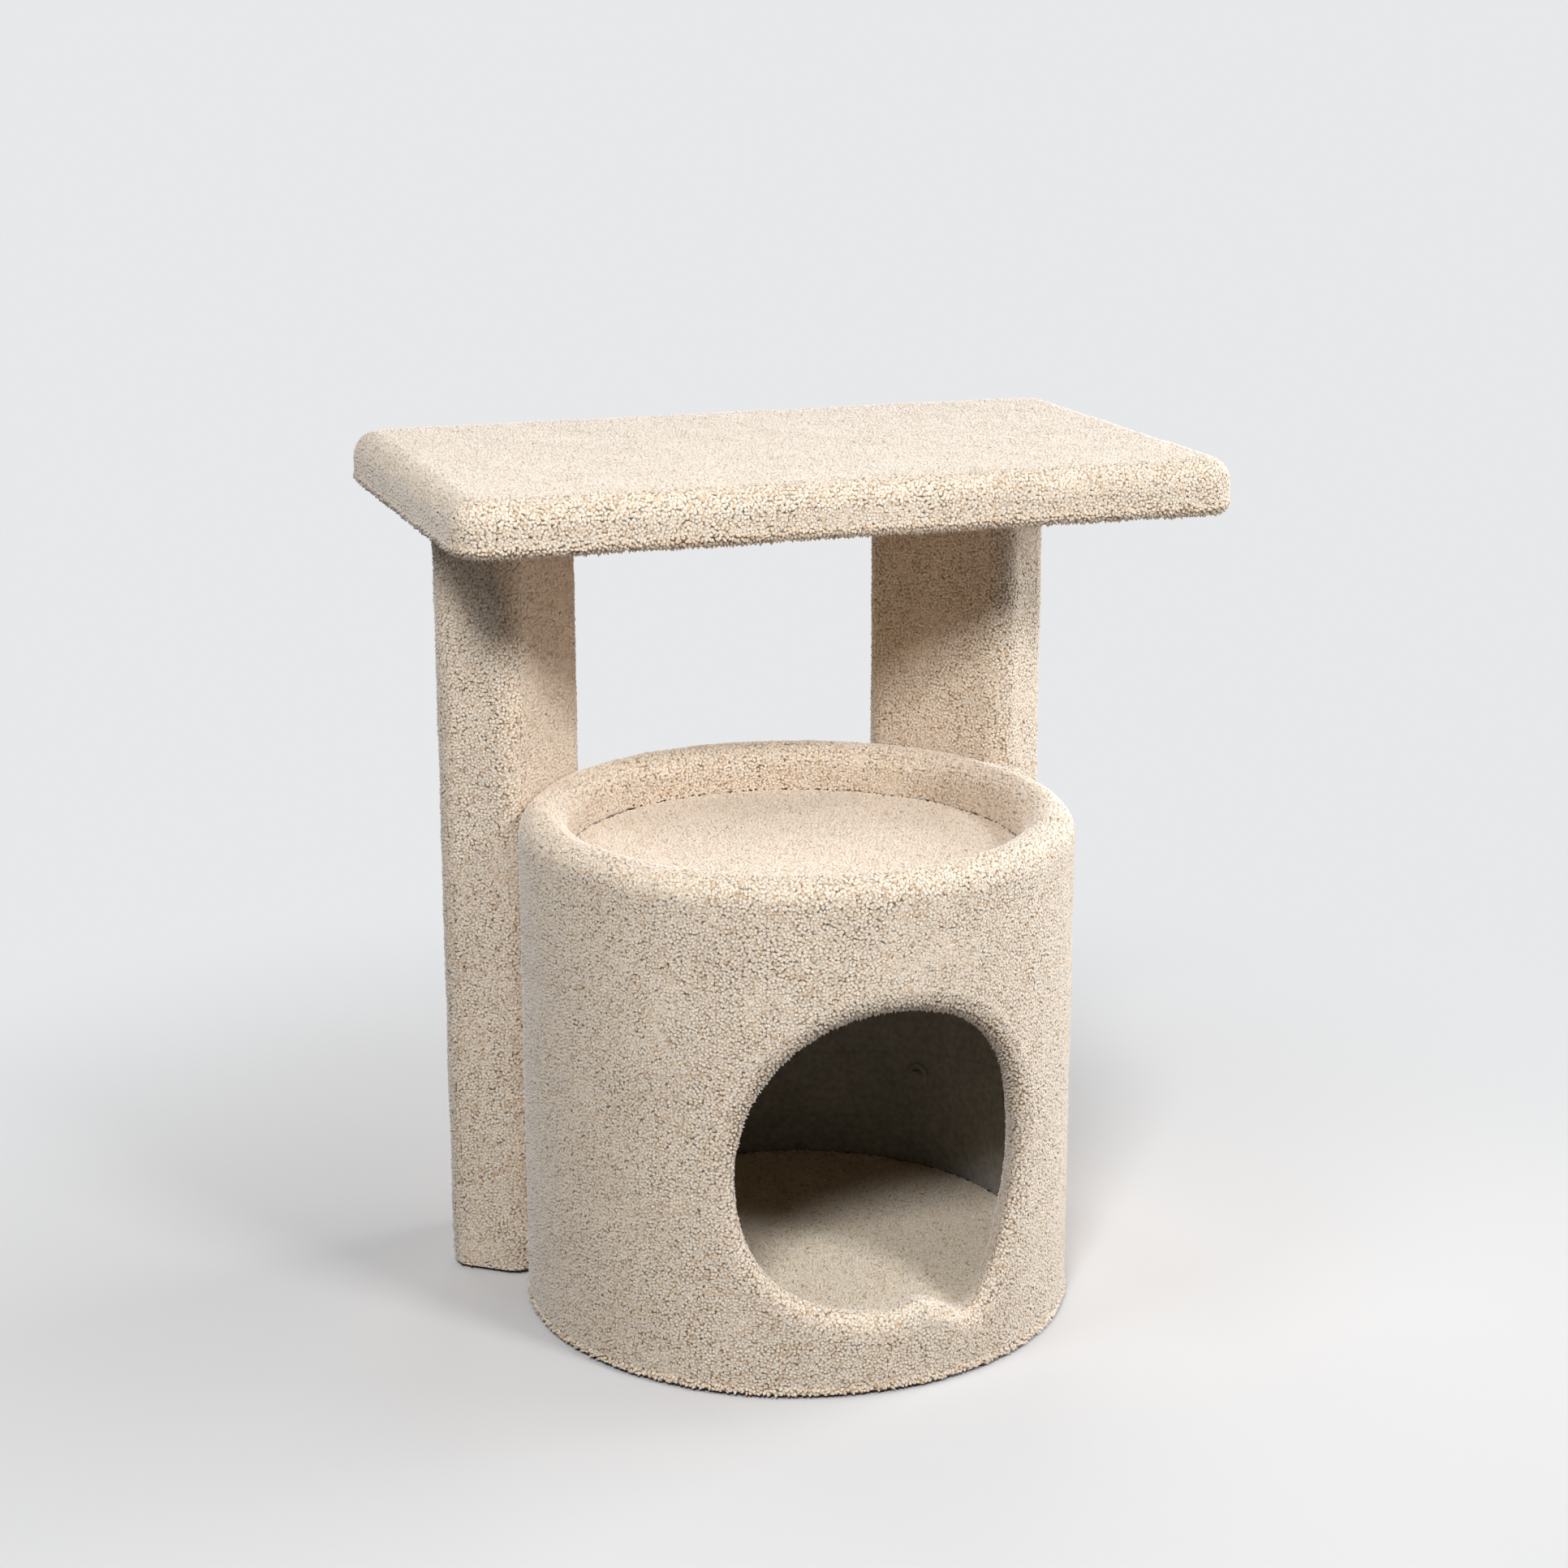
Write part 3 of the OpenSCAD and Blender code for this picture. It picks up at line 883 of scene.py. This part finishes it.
@dataclass(frozen=True)
class DrumSizes:
    """Sizes of the drum that several pieces share, in metres.

    Attributes:
        radius: Radius outside the carpet.
        height: Height to the top of the rim.
        carpet: Thickness of the carpet.
        lining: Radius inside the carpet lining.
        tube_out: Radius outside the fibre tube.
        tube_in: Radius inside the fibre tube.
        tube_top: Height of the tube's upper edge.
        tray: Height of the tray board's top.
        gap: Height of the carpet's cut edge above the floor.
        entrance_w: Clear width of the entrance.
        entrance_h: Clear height of the entrance.
        entrance_z: Height of the middle of the entrance.
        lip: Thickness of the carpet folded through the entrance.
        ease: How fast the entrance's edge passes from its lower to its upper arc.
        cuts: Where the entrance's edge leaves a plain oval: its notched corner, flat shoulder and full sill.
    """

    radius: float = 178 * MM
    height: float = 330 * MM
    carpet: float = 12 * MM
    lining: float = 145.6 * MM
    tube_out: float = 165.8 * MM
    tube_in: float = 157.8 * MM
    tube_top: float = 317.8 * MM
    tray: float = 288 * MM
    gap: float = 3 * MM
    entrance_w: float = 182 * MM
    entrance_h: float = 197 * MM
    entrance_z: float = 149.5 * MM
    lip: float = 10 * MM
    ease: float = 3.0
    cuts: tuple[Cut, ...] = (Cut(-60, 10 * MM, 8.5, 16), Cut(-60, 15 * MM, 8.5, 42), Cut(140, -6.5 * MM, 55, 55),
                             Cut(85, -2 * MM, 20, 20), Cut(-135, 5 * MM, 25, 25), Cut(-77, -3 * MM, 8, 7))

    @property
    def straight(self) -> float:
        """Half the height of the entrance's straight sides."""
        return (self.entrance_h - self.entrance_w) / 2

    @property
    def roll(self) -> float:
        """Radius of the rolled rim."""
        return (self.radius - self.lining) / 2

    @property
    def roll_mid(self) -> float:
        """Radius of the middle of the rim."""
        return (self.radius + self.lining) / 2

    def bulge(self, turn: float) -> float:
        """Returns how far all cuts together move the entrance's edge at an angle in radians."""
        return sum(cut.at(turn) for cut in self.cuts)

    def edge(self, turn: float, out: float) -> tuple[float, float]:
        """Finds a point around the entrance.

        Args:
            turn: Angle around the entrance, from the right and up.
            out: Distance outside its clear edge.

        Returns:
            Its place across the drum and its height.
        """
        half = self.entrance_w / 2 + self.bulge(turn) + out
        straight = self.straight * math.tanh(self.ease * math.sin(turn))
        return half * math.cos(turn), self.entrance_z + straight + half * math.sin(turn)

    def reach(self, place: Vector) -> float:
        """Returns how far outside the entrance's clear edge a place on the wall lies."""
        drop = place.z - self.entrance_z
        rise = math.copysign(max(abs(drop) - self.straight, 0.0), drop)
        turn = math.atan2(rise, place.x)
        return math.hypot(place.x, rise) - self.entrance_w / 2 - self.bulge(turn)


@dataclass(frozen=True)
class PostSizes:
    """Sizes of the two posts, in metres and radians.

    Attributes:
        width: Width outside the carpet, along the drum.
        depth: Depth outside the carpet, away from the drum.
        timber_w: Width of the timber.
        timber_d: Depth of the timber.
        corner: Corner radius of the carpet.
        timber_corner: Corner radius of the timber.
        reach: Distance of a post's middle from the drum's axis.
        angle: Angle from straight behind the drum.
        top: Height of the timber's upper end.
    """

    width: float = 113 * MM
    depth: float = 62 * MM
    timber_w: float = 89.4 * MM
    timber_d: float = 38.4 * MM
    corner: float = 17 * MM
    timber_corner: float = 3.2 * MM
    reach: float = 200 * MM
    angle: float = math.radians(52)
    top: float = 514 * MM

    def frame(self, side: Side) -> Matrix:
        """Returns the place and turn of a post."""
        turn = Matrix.Rotation(side.value * self.angle, 4, "Z")
        return turn @ Matrix.Translation((0, self.reach, 0))

    def covers(self, side: Side, place: Vector, margin: float) -> bool:
        """Tells whether a place lies within a post's plan, grown by a margin."""
        local = self.frame(side).inverted() @ place
        return abs(local.x) < self.width / 2 + margin and abs(local.y) < self.depth / 2 + margin


DRUM = DrumSizes()
POST = PostSizes()


def entrance_plug(out: float, start: float = -50 * MM, length: float = 200 * MM) -> Piece:
    """Makes a straight plug with the entrance's outline, to cut with.

    Args:
        out: Distance of its side outside the clear edge.
        start: Place of its inner end along Y.
        length: Its length towards the front.

    Returns:
        The plug.
    """
    deselect()
    bpy.ops.mesh.primitive_circle_add(vertices=ROUND_STEPS, radius=1.0, fill_type="NGON")
    plug = bpy.context.object
    for vertex in plug.data.vertices:
        x, z = DRUM.edge(math.atan2(vertex.co.y, vertex.co.x), out)
        vertex.co = (x, start, z)
    with editing(plug):
        pick_all()
        extrude(0, -length, 0)
    outward(plug)
    return plug


@dataclass
class DrumTube:
    """Wound fibre tube of the drum, with its entrance cut as the carpet shows it.

    Attributes:
        finishes: The materials.
    """

    finishes: Wardrobe

    NAME: ClassVar[str] = "drum_tube"

    def build(self) -> None:
        """Makes the tube, opens its entrance and hands it over in place of the plain solid."""
        low, high = (corner.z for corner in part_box(self.NAME))
        tube = cylinder("fibre_tube", DRUM.tube_out, low, high, ends="NOTHING")
        outward(tube)
        finish_with(tube, "SOLIDIFY", thickness=DRUM.tube_out - DRUM.tube_in, offset=-1.0, use_even_offset=True)
        carve(tube, entrance_plug(DRUM.lip))
        smooth(tube)
        coat(tube, self.finishes.fibre)
        hand_over(tube, (self.NAME,))


@dataclass
class DrumWrap(Carpet):
    """Carpet around the drum, rolled over the rim and down inside the tray."""

    NAME = "drum_carpet"
    REPLACES = ("drum_carpet",)
    SEAM = 0.0024  # angle left open where the carpet's ends meet
    STRIPS = 4
    ROLL_STEPS = 28
    WALL_BANDS = 30
    LINING_BANDS = 3
    HEM = 4 * MM
    SLACK = 0.3 * MM
    OPENING = 15.5 * MM  # how far outside the entrance's clear edge the wall is cut
    UNDER_POST = 9 * MM  # how far inside a post's plan the pile ends
    OFF_TUBE = 4 * MM  # least distance of the pile's side from the tube
    FACING = 0.3  # least share of a normal that points away from the axis, or to it
    LINED = 12 * MM  # height above the tray board where the lining's pile begins

    def ground(self) -> Piece:
        """Models the wrap by spinning its half-section and opening the entrance."""
        radius = DRUM.roll - PILE
        middle = DRUM.height - DRUM.roll
        deselect()
        bpy.ops.mesh.primitive_circle_add(vertices=self.ROLL_STEPS, radius=radius, fill_type="NOTHING",
                                          location=(0, DRUM.roll_mid, middle), rotation=(0, math.pi / 2, 0))
        wrap = settle(bpy.context.object, self.NAME)
        with editing(wrap):
            pick(wrap, verts=lambda v: v.co.z < middle - MERGE)
            bpy.ops.mesh.delete(type="VERT")
            for end, low, bands in ((DRUM.roll_mid + radius, DRUM.gap, self.WALL_BANDS),
                                    (DRUM.roll_mid - radius, DRUM.tray + self.SLACK, self.LINING_BANDS)):
                pick(wrap, verts=lambda v, end=end: abs(v.co.y - end) < NEAR and v.co.z < middle + MERGE)
                for _ in range(bands):
                    extrude(0, 0, (low + self.HEM - middle) / bands)
                extrude(0, 0, -self.HEM)
            pick_all()
            bpy.ops.mesh.spin(steps=ROUND_STEPS, angle=2 * math.pi - self.SEAM, center=(0, 0, 0), axis=(0, 0, 1))
        outward(wrap)
        self._face_out(wrap)
        finish_with(wrap, "SOLIDIFY", thickness=DRUM.carpet - PILE - self.SLACK, offset=-1.0, use_even_offset=True)
        carve(wrap, entrance_plug(self.OPENING))
        return wrap

    @staticmethod
    def _face_out(wrap: Piece) -> None:
        """Turns the open sheet so that its outer wall faces away from the axis."""
        wall = max(wrap.data.polygons, key=lambda f: f.center.xy.length)
        if wall.normal.xy.dot(wall.center.xy) < 0:
            with editing(wrap):
                pick_all()
                bpy.ops.mesh.flip_normals()

    def strip(self, centre: Vector, normal: Vector) -> int:
        """Returns the quarter of the drum that a face lies in, its hem, or bare on the inside and under posts."""
        away = normal.xy.dot(centre.xy.normalized())
        outside = centre.xy.length > DRUM.tube_out + self.OFF_TUBE and away > self.FACING
        over = centre.z > DRUM.tube_top - 2 * MM and normal.z > 0.1
        inside = centre.xy.length < DRUM.tube_in - self.OFF_TUBE
        lining = inside and centre.z > DRUM.tray + self.LINED and away < -self.FACING
        if not (outside or over or lining):
            return Strip.BARE
        if outside and any(POST.covers(side, centre, -self.UNDER_POST) for side in Side):
            return Strip.BARE
        if outside and centre.z < DRUM.gap + self.HEM + 1 * MM:
            return Strip.FRINGE
        turn = math.atan2(centre.x, -centre.y)
        return int((turn + math.pi) / (2 * math.pi) * self.STRIPS) % self.STRIPS


@dataclass
class EntranceLip(Carpet):
    """Carpet flaps rolled inwards around the entrance."""

    NAME = "entrance_lip"
    ROLL = 11 * MM
    ROLL_STEPS = 24
    SPREAD = 1.5  # width of the roll along the wall, as a share of its height
    DEEP = 1.9  # depth of its inner half, as a share of its outer half
    EDGE = 8 * MM  # width of the fringed edge

    def ground(self) -> Piece:
        """Models the roll as a ring laid around the entrance on the drum's wall."""
        deselect()
        bpy.ops.mesh.primitive_torus_add(major_segments=ROUND_STEPS, minor_segments=self.ROLL_STEPS,
                                         major_radius=1.0, minor_radius=self.ROLL - PILE)
        ring = settle(bpy.context.object, self.NAME)
        for vertex in ring.data.vertices:
            vertex.co = self._laid(vertex.co)
        outward(ring)
        return ring

    def _laid(self, place: Vector) -> Vector:
        """Lays a point of the flat ring around the entrance.

        Args:
            place: Point of a ring of radius 1 in the XY plane.

        Returns:
            The point on the drum's wall.
        """
        x, z = DRUM.edge(math.atan2(place.y, place.x), (self.ROLL + place.xy.length - 1.0) * self.SPREAD)
        wall = DRUM.radius - self.ROLL + place.z * (1.0 if place.z > 0 else self.DEEP)
        return Vector((x, -math.sqrt(wall**2 - x**2), z))

    def strip(self, centre: Vector, normal: Vector) -> int:
        """Returns the strip on the half of the roll that lines the entrance, or the fringe of its upper edge."""
        reach = DRUM.reach(centre)
        if reach > self.ROLL * self.SPREAD:
            return Strip.BARE
        upper = centre.z > DRUM.entrance_z + 10 * MM and centre.xy.length > DRUM.tube_in + 5 * MM
        return Strip.FRINGE if upper and reach < self.EDGE else 0


@dataclass
class EntranceFlap(EntranceLip):
    """Carpet flaps pressed flat against the inside of the tube."""

    NAME = "entrance_flap"
    MIDDLE = 18 * MM  # distance of the flap's middle line outside the entrance's clear edge
    REACH = 7 * MM
    THICK = 4.2 * MM
    CLEAR = 0.3 * MM

    def _laid(self, place: Vector) -> Vector:
        """Lays a point of the flat ring against the inner wall around the entrance."""
        thick = self.ROLL - PILE
        out = (place.xy.length - 1.0) / thick * self.REACH
        x, z = DRUM.edge(math.atan2(place.y, place.x), self.MIDDLE + out)
        wall = DRUM.tube_in - self.THICK - self.CLEAR + place.z / thick * self.THICK
        return Vector((x, -math.sqrt(wall**2 - x**2), z))

    def strip(self, centre: Vector, normal: Vector) -> int:
        """Returns the only strip, on the side that faces into the cabin."""
        return 0 if normal.xy.dot(centre.xy) < 0 else Strip.BARE


@dataclass
class CarpetDisc(Carpet):
    """Round carpet on a board.

    Attributes:
        radius: Radius of the disc.
        low: Height of its underside.
        high: Height of the pile's tips.
    """

    radius: float
    low: float
    high: float

    STEPS = 128
    RINGS = 5
    RING = 0.17  # width of each ring of faces on the top, as a share of the radius
    SOFT = 1.2 * MM

    def ground(self) -> Piece:
        """Models the disc with a soft upper edge."""
        top = self.high - PILE
        disc = cylinder(self.NAME, self.radius, self.low, top, self.STEPS)
        with editing(disc):
            round_edges(disc, lambda z: z > top - NEAR, self.SOFT, 2)
            pick(disc, faces=lambda f: f.normal.z > 0.99)
            for _ in range(self.RINGS):
                bpy.ops.mesh.inset(thickness=self.radius * self.RING)
        outward(disc)
        return disc

    def strip(self, centre: Vector, normal: Vector) -> int:
        """Returns the only strip, on the top and its soft edge."""
        return 0 if normal.z > 0.2 else Strip.BARE


@dataclass
class TrayCarpet(CarpetDisc):
    """Carpet in the sleeping tray."""

    radius: float = 146.4 * MM
    low: float = 288.2 * MM
    high: float = 300 * MM

    NAME = "tray_carpet"
    REPLACES = ("tray_carpet",)


@dataclass
class FloorCarpet(CarpetDisc):
    """Carpet on the cabin floor."""

    radius: float = 157.2 * MM
    low: float = 18.2 * MM
    high: float = 30 * MM

    NAME = "floor_carpet"
    REPLACES = ("floor_carpet",)


@dataclass
class PostSleeve(Carpet):
    """Carpet sleeve of one post.

    Attributes:
        side: Side of the condo that the post stands on.
    """

    side: Side

    LOW = 3 * MM
    HEM = 5 * MM
    LEVELS = 40
    PAST = 0.01  # how far the core runs past both ends of the sleeve
    PRESSED = 0.6 * MM  # how far the sleeve is pressed into the drum's outline
    DROP = 1 * MM  # how far the drum's form stands below the real rim
    RIM = 15 * MM  # rounding of the form's rim

    def __post_init__(self) -> None:
        """Names the sleeve for its side."""
        self.NAME = f"{self.side.name.lower()}_post_carpet"
        self.REPLACES = (self.NAME,)

    def ground(self) -> Piece:
        """Models the sleeve as a hollow block, pressed hollow against the drum."""
        sleeve = rounded_block(POST.width - 2 * PILE, POST.depth - 2 * PILE, self.LOW, POST.top - 0.2 * MM,
                               POST.corner - PILE, rings=7, levels=self.LEVELS)
        carve(sleeve, rounded_block(POST.timber_w, POST.timber_d, -self.PAST, POST.top + self.PAST,
                                    POST.timber_corner, rings=3))
        sleeve.matrix_world = POST.frame(self.side)
        settle(sleeve, self.NAME)
        drum = cylinder("drum_form", DRUM.radius - self.PRESSED, -self.DROP, DRUM.height - self.DROP)
        with editing(drum):
            round_edges(drum, lambda z: z > DRUM.height / 2, self.RIM, 6)
        carve(sleeve, drum)
        return sleeve

    def strip(self, centre: Vector, normal: Vector) -> int:
        """Returns the lower or upper strip on the outside of the sleeve, its hem, or bare against the drum."""
        to_post = POST.frame(self.side).inverted()
        local = to_post @ centre
        outer = abs(local.x) > POST.timber_w / 2 + 3 * MM or abs(local.y) > POST.timber_d / 2 + 3 * MM
        flat = abs(normal.z) < 0.5
        pressed = centre.xy.length < DRUM.radius + 1 * MM and centre.z < DRUM.height - 9 * MM
        inward = (to_post.to_3x3() @ normal).dot(Vector((local.x, local.y, 0))) < 0
        if not (outer and flat) or pressed or inward:
            return Strip.BARE
        return Strip.FRINGE if centre.z < self.LOW + self.HEM else int(centre.z > POST.top / 2)


@dataclass
class ShelfCover(Carpet):
    """Carpet over the shelf board, down its edges and tucked under it.

    Attributes:
        length: Length outside the pile.
        width: Width outside the pile.
        low: Height of the tucked edge's underside.
        high: Height of the pile's tips on top.
        middle: Place of its middle in plan.
    """

    length: float = 513.9 * MM
    width: float = 325.5 * MM
    low: float = 508 * MM
    high: float = 544 * MM
    middle: tuple[float, float] = (28.0 * MM, 112.1 * MM)

    NAME = "shelf_carpet"
    REPLACES = ("shelf_carpet",)
    STRIPS = 3
    CARPET = 12 * MM
    CORNER = 25 * MM
    TUCK = 42 * MM
    BOARD_LOW = 514 * MM
    BOARD_HIGH = 532 * MM
    SOFT_TOP = 16 * MM
    SOFT_HEM = 6 * MM
    HEM = 10 * MM
    PAST = 0.02  # how far a cutter runs out below the cover

    def ground(self) -> Piece:
        """Models the cover as a soft-edged block, hollowed for the board and the posts."""
        top, under = self.high - PILE, self.low + PILE
        cover = rounded_block(self.length - 2 * PILE, self.width - 2 * PILE, under, top, self.CORNER - PILE, rings=8)
        with editing(cover):
            round_edges(cover, lambda z: z > top - NEAR, self.SOFT_TOP, 8)
            round_edges(cover, lambda z: z < under + NEAR, self.SOFT_HEM, 3)
        with editing(cover):
            for place in (-self.length / 6, self.length / 6):
                pick_all()
                bpy.ops.mesh.bisect(plane_co=(place, 0, 0), plane_no=(1, 0, 0))
        board_l, board_w = self.length - 2 * self.CARPET, self.width - 2 * self.CARPET
        inner = self.CORNER - self.CARPET
        carve(cover, rounded_block(board_l, board_w, self.BOARD_LOW, self.BOARD_HIGH, inner))
        carve(cover, rounded_block(board_l - 2 * self.TUCK, board_w - 2 * self.TUCK, self.low - self.PAST,
                                   self.BOARD_LOW + 1 * MM, inner))
        cover.matrix_world = Matrix.Translation((*self.middle, 0))
        settle(cover, self.NAME)
        for side in Side:
            post = rounded_block(POST.width - 1 * MM, POST.depth - 1 * MM, self.low - self.PAST,
                                 self.BOARD_LOW + NEAR, POST.corner)
            post.matrix_world = POST.frame(side)
            carve(cover, settle(post, "post_form"))
        return cover

    def strip(self, centre: Vector, normal: Vector) -> int:
        """Returns the third of the shelf that a face of the outside lies in, its hem, or bare."""
        x, y = centre.x - self.middle[0], centre.y - self.middle[1]
        deep = abs(x) < self.length / 2 - self.CARPET - 1 * MM and abs(y) < self.width / 2 - self.CARPET - 1 * MM
        on_top = centre.z > self.BOARD_HIGH + 4 * MM and normal.z > 0.1
        under = centre.z < self.BOARD_LOW - 0.5 * MM and normal.z < -0.5
        if deep and not (on_top or under):
            return Strip.BARE
        hem = not deep and centre.z < self.low + self.HEM and normal.z < 0.3
        return Strip.FRINGE if hem else int(x / self.length * self.STRIPS + self.STRIPS / 2)


@dataclass
class HardParts:
    """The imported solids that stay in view, each with its finish.

    Attributes:
        finishes: The materials.
    """

    finishes: Wardrobe

    def dress(self) -> None:
        """Gives every hard node its material."""
        dressed = {
            self.finishes.board: ("base_board", "tray_board", "shelf_board"),
            self.finishes.timber: ("left_post", "right_post"),
            self.finishes.zinc: ("shelf_screws", "base_board_screws", "tray_board_screws", "shelf_staples"),
            self.finishes.coated_painted_shade: ("left_drum_screws", "right_drum_screws", "left_drum_washers",
                                   "right_drum_washers", "flap_staples"),
        }
        for material, nodes in dressed.items():
            for name in nodes:
                coat(frame["nodes"][name], material)
                log.info("%s: %s", name, material.name)


@dataclass(frozen=True)
class Lamp:
    """A square area lamp that points at the condo.

    Attributes:
        name: Name of the lamp.
        turn: Angle to the right of the condo's front, in degrees.
        climb: Angle above level, in degrees.
        away: Distance from the condo.
        size: Length of the lamp's side.
        power: Power in watts.
    """

    name: str
    turn: float
    climb: float
    away: float
    size: float
    power: float

    AIM: ClassVar = (0.0, 0.04, 0.27)  # middle of the condo

    def hang(self) -> None:
        """Places the lamp and turns it to the condo."""
        across, rise = math.radians(self.turn), math.radians(self.climb)
        ray = Vector((math.sin(across) * math.cos(rise), -math.cos(across) * math.cos(rise), math.sin(rise)))
        deselect()
        bpy.ops.object.light_add(type="AREA", location=Vector(self.AIM) + ray * self.away)
        lamp = bpy.context.object
        lamp.name = self.name
        lamp.rotation_euler = ray.to_track_quat("Z", "Y").to_euler()
        lamp.data.size = self.size
        lamp.data.energy = self.power


@dataclass
class Studio:
    """Floor, lights and camera.

    Attributes:
        distance: Distance of the camera from the drum's axis, along the floor.
        height: Height of the camera.
        turn: Angle of the camera to the left of the drum's front, in degrees.
        pitch: Angle of view below level, in degrees.
        lens: Focal length in millimetres.
        sensor: Width of the sensor in millimetres.
        shift: Offset of the frame, as a share of its width.
        ambient: Strength of the even light of the room.
        room: Colour of that light.
        backdrop: Colour behind the condo.
        floor_seen: Colour of the floor as it is seen.
        floor_lit: Colour of the floor as it lights the condo.
        floor_fade: Distances between which the floor runs out into the backdrop.
    """

    distance: float = 1.896
    height: float = 0.852
    turn: float = 19.1
    pitch: float = 15.02
    lens: float = 70.62
    sensor: float = 36.0
    shift: tuple[float, float] = (-0.008, -0.001)
    ambient: float = 0.02
    room: Colour = rgb(0.93, 0.95, 1.0)
    backdrop: Colour = rgb(0.80, 0.81, 0.82)
    floor_seen: Colour = rgb(0.58, 0.58, 0.585)
    floor_lit: Colour = rgb(0.24, 0.24, 0.245)
    floor_fade: tuple[float, float] = (0.25, 0.95)

    FLOOR_SIZE: ClassVar[float] = 60.0
    LAMPS: ClassVar[tuple[Lamp, ...]] = (
        Lamp("key_left", -26, 39, 2.6, 0.45, 48), Lamp("key_right", 28, 37, 2.6, 0.45, 30),
        Lamp("side_right", 76, 17, 2.4, 1.2, 19), Lamp("side_far_right", 98, 20, 2.4, 1.0, 32),
        Lamp("side_left", -72, 50, 2.6, 0.8, 15), Lamp("rear_left", -166, 18, 2.6, 1.2, 16),
        Lamp("rear_right", 158, 15, 2.6, 1.2, 16),
    )

    def build(self) -> None:
        """Sets up the floor, the lights and the camera."""
        self._floor()
        self._world()
        for lamp in self.LAMPS:
            lamp.hang()
        self._camera()

    def _floor(self) -> None:
        """Lays a plain pale floor that runs out into the backdrop's own colour."""
        deselect()
        bpy.ops.mesh.primitive_plane_add(size=self.FLOOR_SIZE, location=(0, 0, 0))
        floor = settle(bpy.context.object, "floor")
        bench = MaterialBench("pale_floor")
        seen = self._seen(bench)
        bench.shade(Base_Color=bench.blend(seen, self.floor_lit, self.floor_seen), Roughness=0.9,
                    Specular_IOR_Level=0.1)
        reach = bench.get("ShaderNodeVectorMath", operation="LENGTH", Vector=bench.place)
        fade = bench.get("ShaderNodeMapRange", interpolation_type="SMOOTHSTEP", Value=reach,
                         From_Min=self.floor_fade[0], From_Max=self.floor_fade[1])
        glow = bench.get("ShaderNodeEmission", Color=self.backdrop, Strength=1.0)
        self._mix(bench, bench.math("MULTIPLY", fade, seen), bench.shader.outputs[0], glow, bench.out)
        coat(floor, bench.material)

    @staticmethod
    def _seen(bench: NodeBench) -> Socket:
        """Returns 1 for a ray that shows a surface to the eye, straight, mirrored or through glass."""
        ray = bench.add("ShaderNodeLightPath").outputs
        return bench.math("MAXIMUM", bench.math("MAXIMUM", ray["Is Camera Ray"], ray["Is Glossy Ray"]),
                          ray["Is Transmission Ray"])

    @staticmethod
    def _mix(bench: NodeBench, factor: Socket, first: Socket, second: Socket, out: bpy.types.Node) -> None:
        """Mixes two shaders into an output, by the second one's share."""
        blend = bench.add("ShaderNodeMixShader", Fac=factor)
        bench.link(first, blend.inputs[1])
        bench.link(second, blend.inputs[2])
        bench.feed(out, Surface=blend.outputs[0])

    def _world(self) -> None:
        """Fills the room with even pale light, and shows the backdrop's colour behind the condo."""
        world = bpy.data.worlds.new("studio")
        bpy.context.scene.world = world
        world.use_nodes = True
        world.node_tree.nodes.clear()
        bench = NodeBench(world.node_tree)
        room = bench.get("ShaderNodeBackground", Color=self.room, Strength=self.ambient)
        shown = bench.get("ShaderNodeBackground", Color=self.backdrop, Strength=1.0)
        self._mix(bench, self._seen(bench), room, shown, bench.add("ShaderNodeOutputWorld"))

    def _camera(self) -> None:
        """Places the camera at its viewpoint."""
        deselect()
        turn = math.radians(self.turn)
        place = (-self.distance * math.sin(turn), -self.distance * math.cos(turn), self.height)
        bpy.ops.object.camera_add(location=place, rotation=(math.radians(90 - self.pitch), 0, -turn))
        camera = bpy.context.object
        camera.data.lens = self.lens
        camera.data.sensor_width = self.sensor
        camera.data.shift_x, camera.data.shift_y = self.shift
        bpy.context.scene.camera = camera
        bpy.context.scene.view_settings.view_transform = "Standard"


def main() -> None:
    """Builds every piece of the condo in order."""
    logging.basicConfig(level=logging.INFO, format="%(message)s")
    finishes = Wardrobe()
    pile = PileMaker(finishes.pile)
    cabin = PileMaker(finishes.floor_pile_painted_light)
    fringe, edging = (PileMaker(yarn, width=4.0 * MM, height=2.6 * MM, spacing=1.8 * MM, lean=0.55)
                      for yarn in (finishes.hem_pile, finishes.pile))
    cloth = (finishes, pile, fringe)
    HardParts(finishes).dress()
    DrumTube(finishes).build()
    for carpet in (
        DrumWrap(*cloth, 100),
        EntranceLip(finishes, pile, edging, 200),
        EntranceFlap(*cloth, 300),
        TrayCarpet(*cloth, 400),
        FloorCarpet(finishes, cabin, fringe, 500),
        PostSleeve(*cloth, 600, Side.LEFT),
        PostSleeve(*cloth, 700, Side.RIGHT),
        ShelfCover(*cloth, 800),
    ):
        carpet.build()
    for maker in (pile, cabin, fringe, edging):
        maker.put_away()
    Studio().build()


if __name__ == "__main__":
    main()
